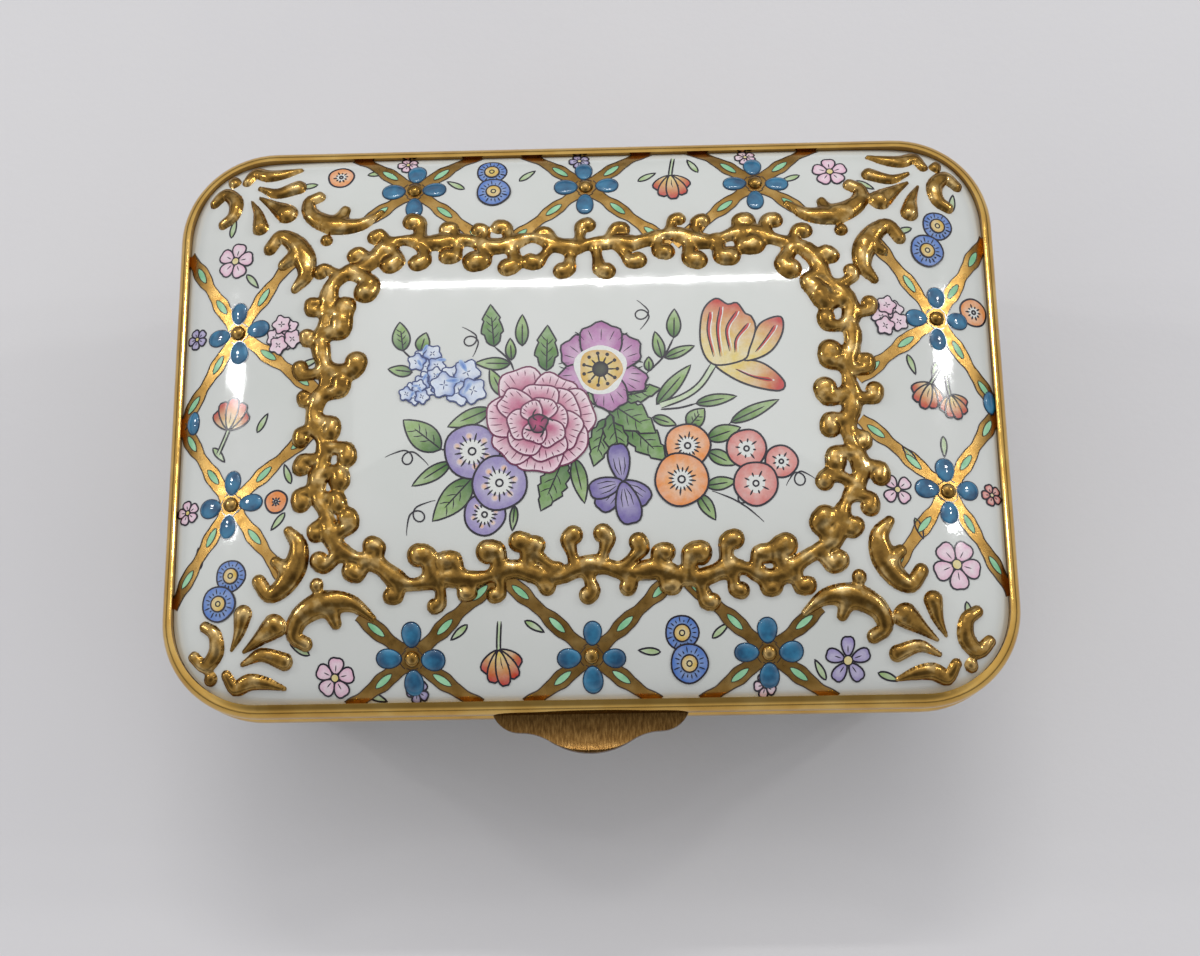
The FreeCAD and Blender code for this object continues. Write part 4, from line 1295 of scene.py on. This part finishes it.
def build_relief():
    """The gilt frame round the bouquet, and the scrolls and drops in the corners."""
    rng = np.random.default_rng(11)
    trunk, _, run = frame_trunk()
    width = 0.6 + 0.12 * np.sin(run * 1.3) + 0.06 * np.sin(run * 3.1)
    loop = (np.vstack([trunk, trunk[:1]]), np.append(width, width[0]))
    points, faces = relief_mesh([loop] + frame_clubs(rng) + crests())
    gilt = mesh_piece("gilt_frame_relief", points, faces, "lid", RAISED_GILT)
    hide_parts("gilt_frame")
    points, faces = relief_mesh(corner_strokes(rng))
    drops = mesh_piece("gilt_corner_scrolls", points, faces, "lid", RAISED_GILT)
    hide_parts("gilt_corner_drops")


# --- carried-over CAD nodes ---
NODE_LOOKS = {
    "lid_bezel": POLISHED_BRASS, "base_bezel": POLISHED_BRASS, "base_collar": POLISHED_BRASS,
    # The thumb piece takes the brass whose colours are painted dark as shade.
    "thumb_piece": BRUSHED_BRASS_PAINTED_SHADE, "catch_bead": POLISHED_BRASS,
    "lid_hinge_knuckles": POLISHED_BRASS, "base_hinge_knuckles": POLISHED_BRASS, "hinge_pin": PIN_BRASS,
    "lid_copper": COPPER, "base_copper": COPPER,
    "lid_enamel_inner": INNER_ENAMEL, "base_enamel_inner": INNER_ENAMEL,
}


def dress_nodes():
    """Gives each carried-over CAD node its own look."""
    for name, look in NODE_LOOKS.items():
        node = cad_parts[name]
        node.data.materials.clear()
        node.data.materials.append(look)


# --- stage ---
def build_floor():
    """A wide thin slab under the box."""
    size, thick, gap = 1500, 5, 0.02
    corners = [(-size, -size), (size, -size), (size, size), (-size, size)]
    points = [(x, y, z) for z in (-thick, -gap) for x, y in corners]
    faces = [(3, 2, 1, 0), (4, 5, 6, 7)] + ring_faces(0, 4, 4)
    floor = linked("floor", new_mesh("floor", points, faces, floor_look()))


def build_world():
    """A pale room: brightest overhead, dim where the viewer stands and in a band round the horizon."""
    world = bpy.data.worlds.new("room")
    world.use_nodes = True
    bpy.context.scene.world = world
    nodes, links = world.node_tree.nodes, world.node_tree.links
    place = nodes.new("ShaderNodeTexCoord")

    def band(direction, *stops):
        facing = nodes.new("ShaderNodeVectorMath")
        facing.operation = "DOT_PRODUCT"
        facing.inputs[1].default_value = Vector(direction).normalized()
        links.new(place.outputs["Generated"], facing.inputs[0])
        tints = [(position, (grey, grey, grey * 1.02)) for position, grey in stops]
        return colour_ramp(nodes, links, facing.outputs["Value"], tints)

    viewer = band((0, -0.6, 0.8), (0.0, 1.0), (0.78, 1.0), (0.9, 0.55), (0.97, 0.27))
    height = band((0, 0, 1), (0.0, 0.5), (0.03, 0.22), (0.14, 0.28), (0.3, 0.85), (0.7, 1.0))
    both = nodes.new("ShaderNodeMix")
    both.data_type = "RGBA"
    both.blend_type = "MULTIPLY"
    both.inputs[0].default_value = 1.0
    links.new(viewer, both.inputs[6])
    links.new(height, both.inputs[7])
    links.new(both.outputs[2], nodes["Background"].inputs["Color"])
    nodes["Background"].inputs["Strength"].default_value = 0.84


LIGHT_TARGET = Vector((0, 0, 20))


def area_light(name, at, width, length, radiance):
    """A rectangular light facing the box; places and sizes in mm, radiance in W/m2/sr."""
    data = bpy.data.lights.new(name, "AREA")
    data.shape = "RECTANGLE"
    data.size, data.size_y = width * MM, length * MM
    data.energy = radiance * math.pi * data.size * data.size_y
    light = linked(name, data)
    light.location = Vector(at) * MM
    light.rotation_euler = (LIGHT_TARGET - Vector(at)).to_track_quat("-Z", "Y").to_euler()


def build_lights():
    """One long tube behind the box, two narrow windows on each side and a weak soft ceiling."""
    area_light("ceiling_tube", (0, 400, 530), 260, 11, 60)
    window = 46
    area_light("left_window_back", (-404, 164, 308), 30, 42, window)
    area_light("left_window_front", (-414, 102, 317), 12, 40, window)
    area_light("right_window_back", (396, 167, 317), 32, 42, window)
    area_light("right_window_front", (408, 97, 327), 14, 40, window)
    area_light("soft_ceiling", (0, 500, 1000), 900, 500, 0.9)


def build_camera():
    """The photo's camera: almost straight above the box, from its front."""
    data = bpy.data.cameras.new("camera")
    data.sensor_fit = "HORIZONTAL"
    data.sensor_width = 36
    data.lens = 51.15
    data.clip_start = 0.005
    data.clip_end = 20
    camera = linked("camera", data)
    camera.location = Vector((3.6, -37.7, 145.62)) * MM
    camera.rotation_euler = Euler([math.radians(angle) for angle in (14.7, 1.42, -0.79)], "XYZ")
    bpy.context.scene.camera = camera


build_enamel()
bouquet()
trellis()
bead_and_petals()
border_flowers()
wall_decoration()
build_relief()
dress_nodes()
build_floor()
build_world()
build_lights()
build_camera()
bpy.context.scene.view_settings.view_transform = "Standard"

bpy.context.view_layer.update()
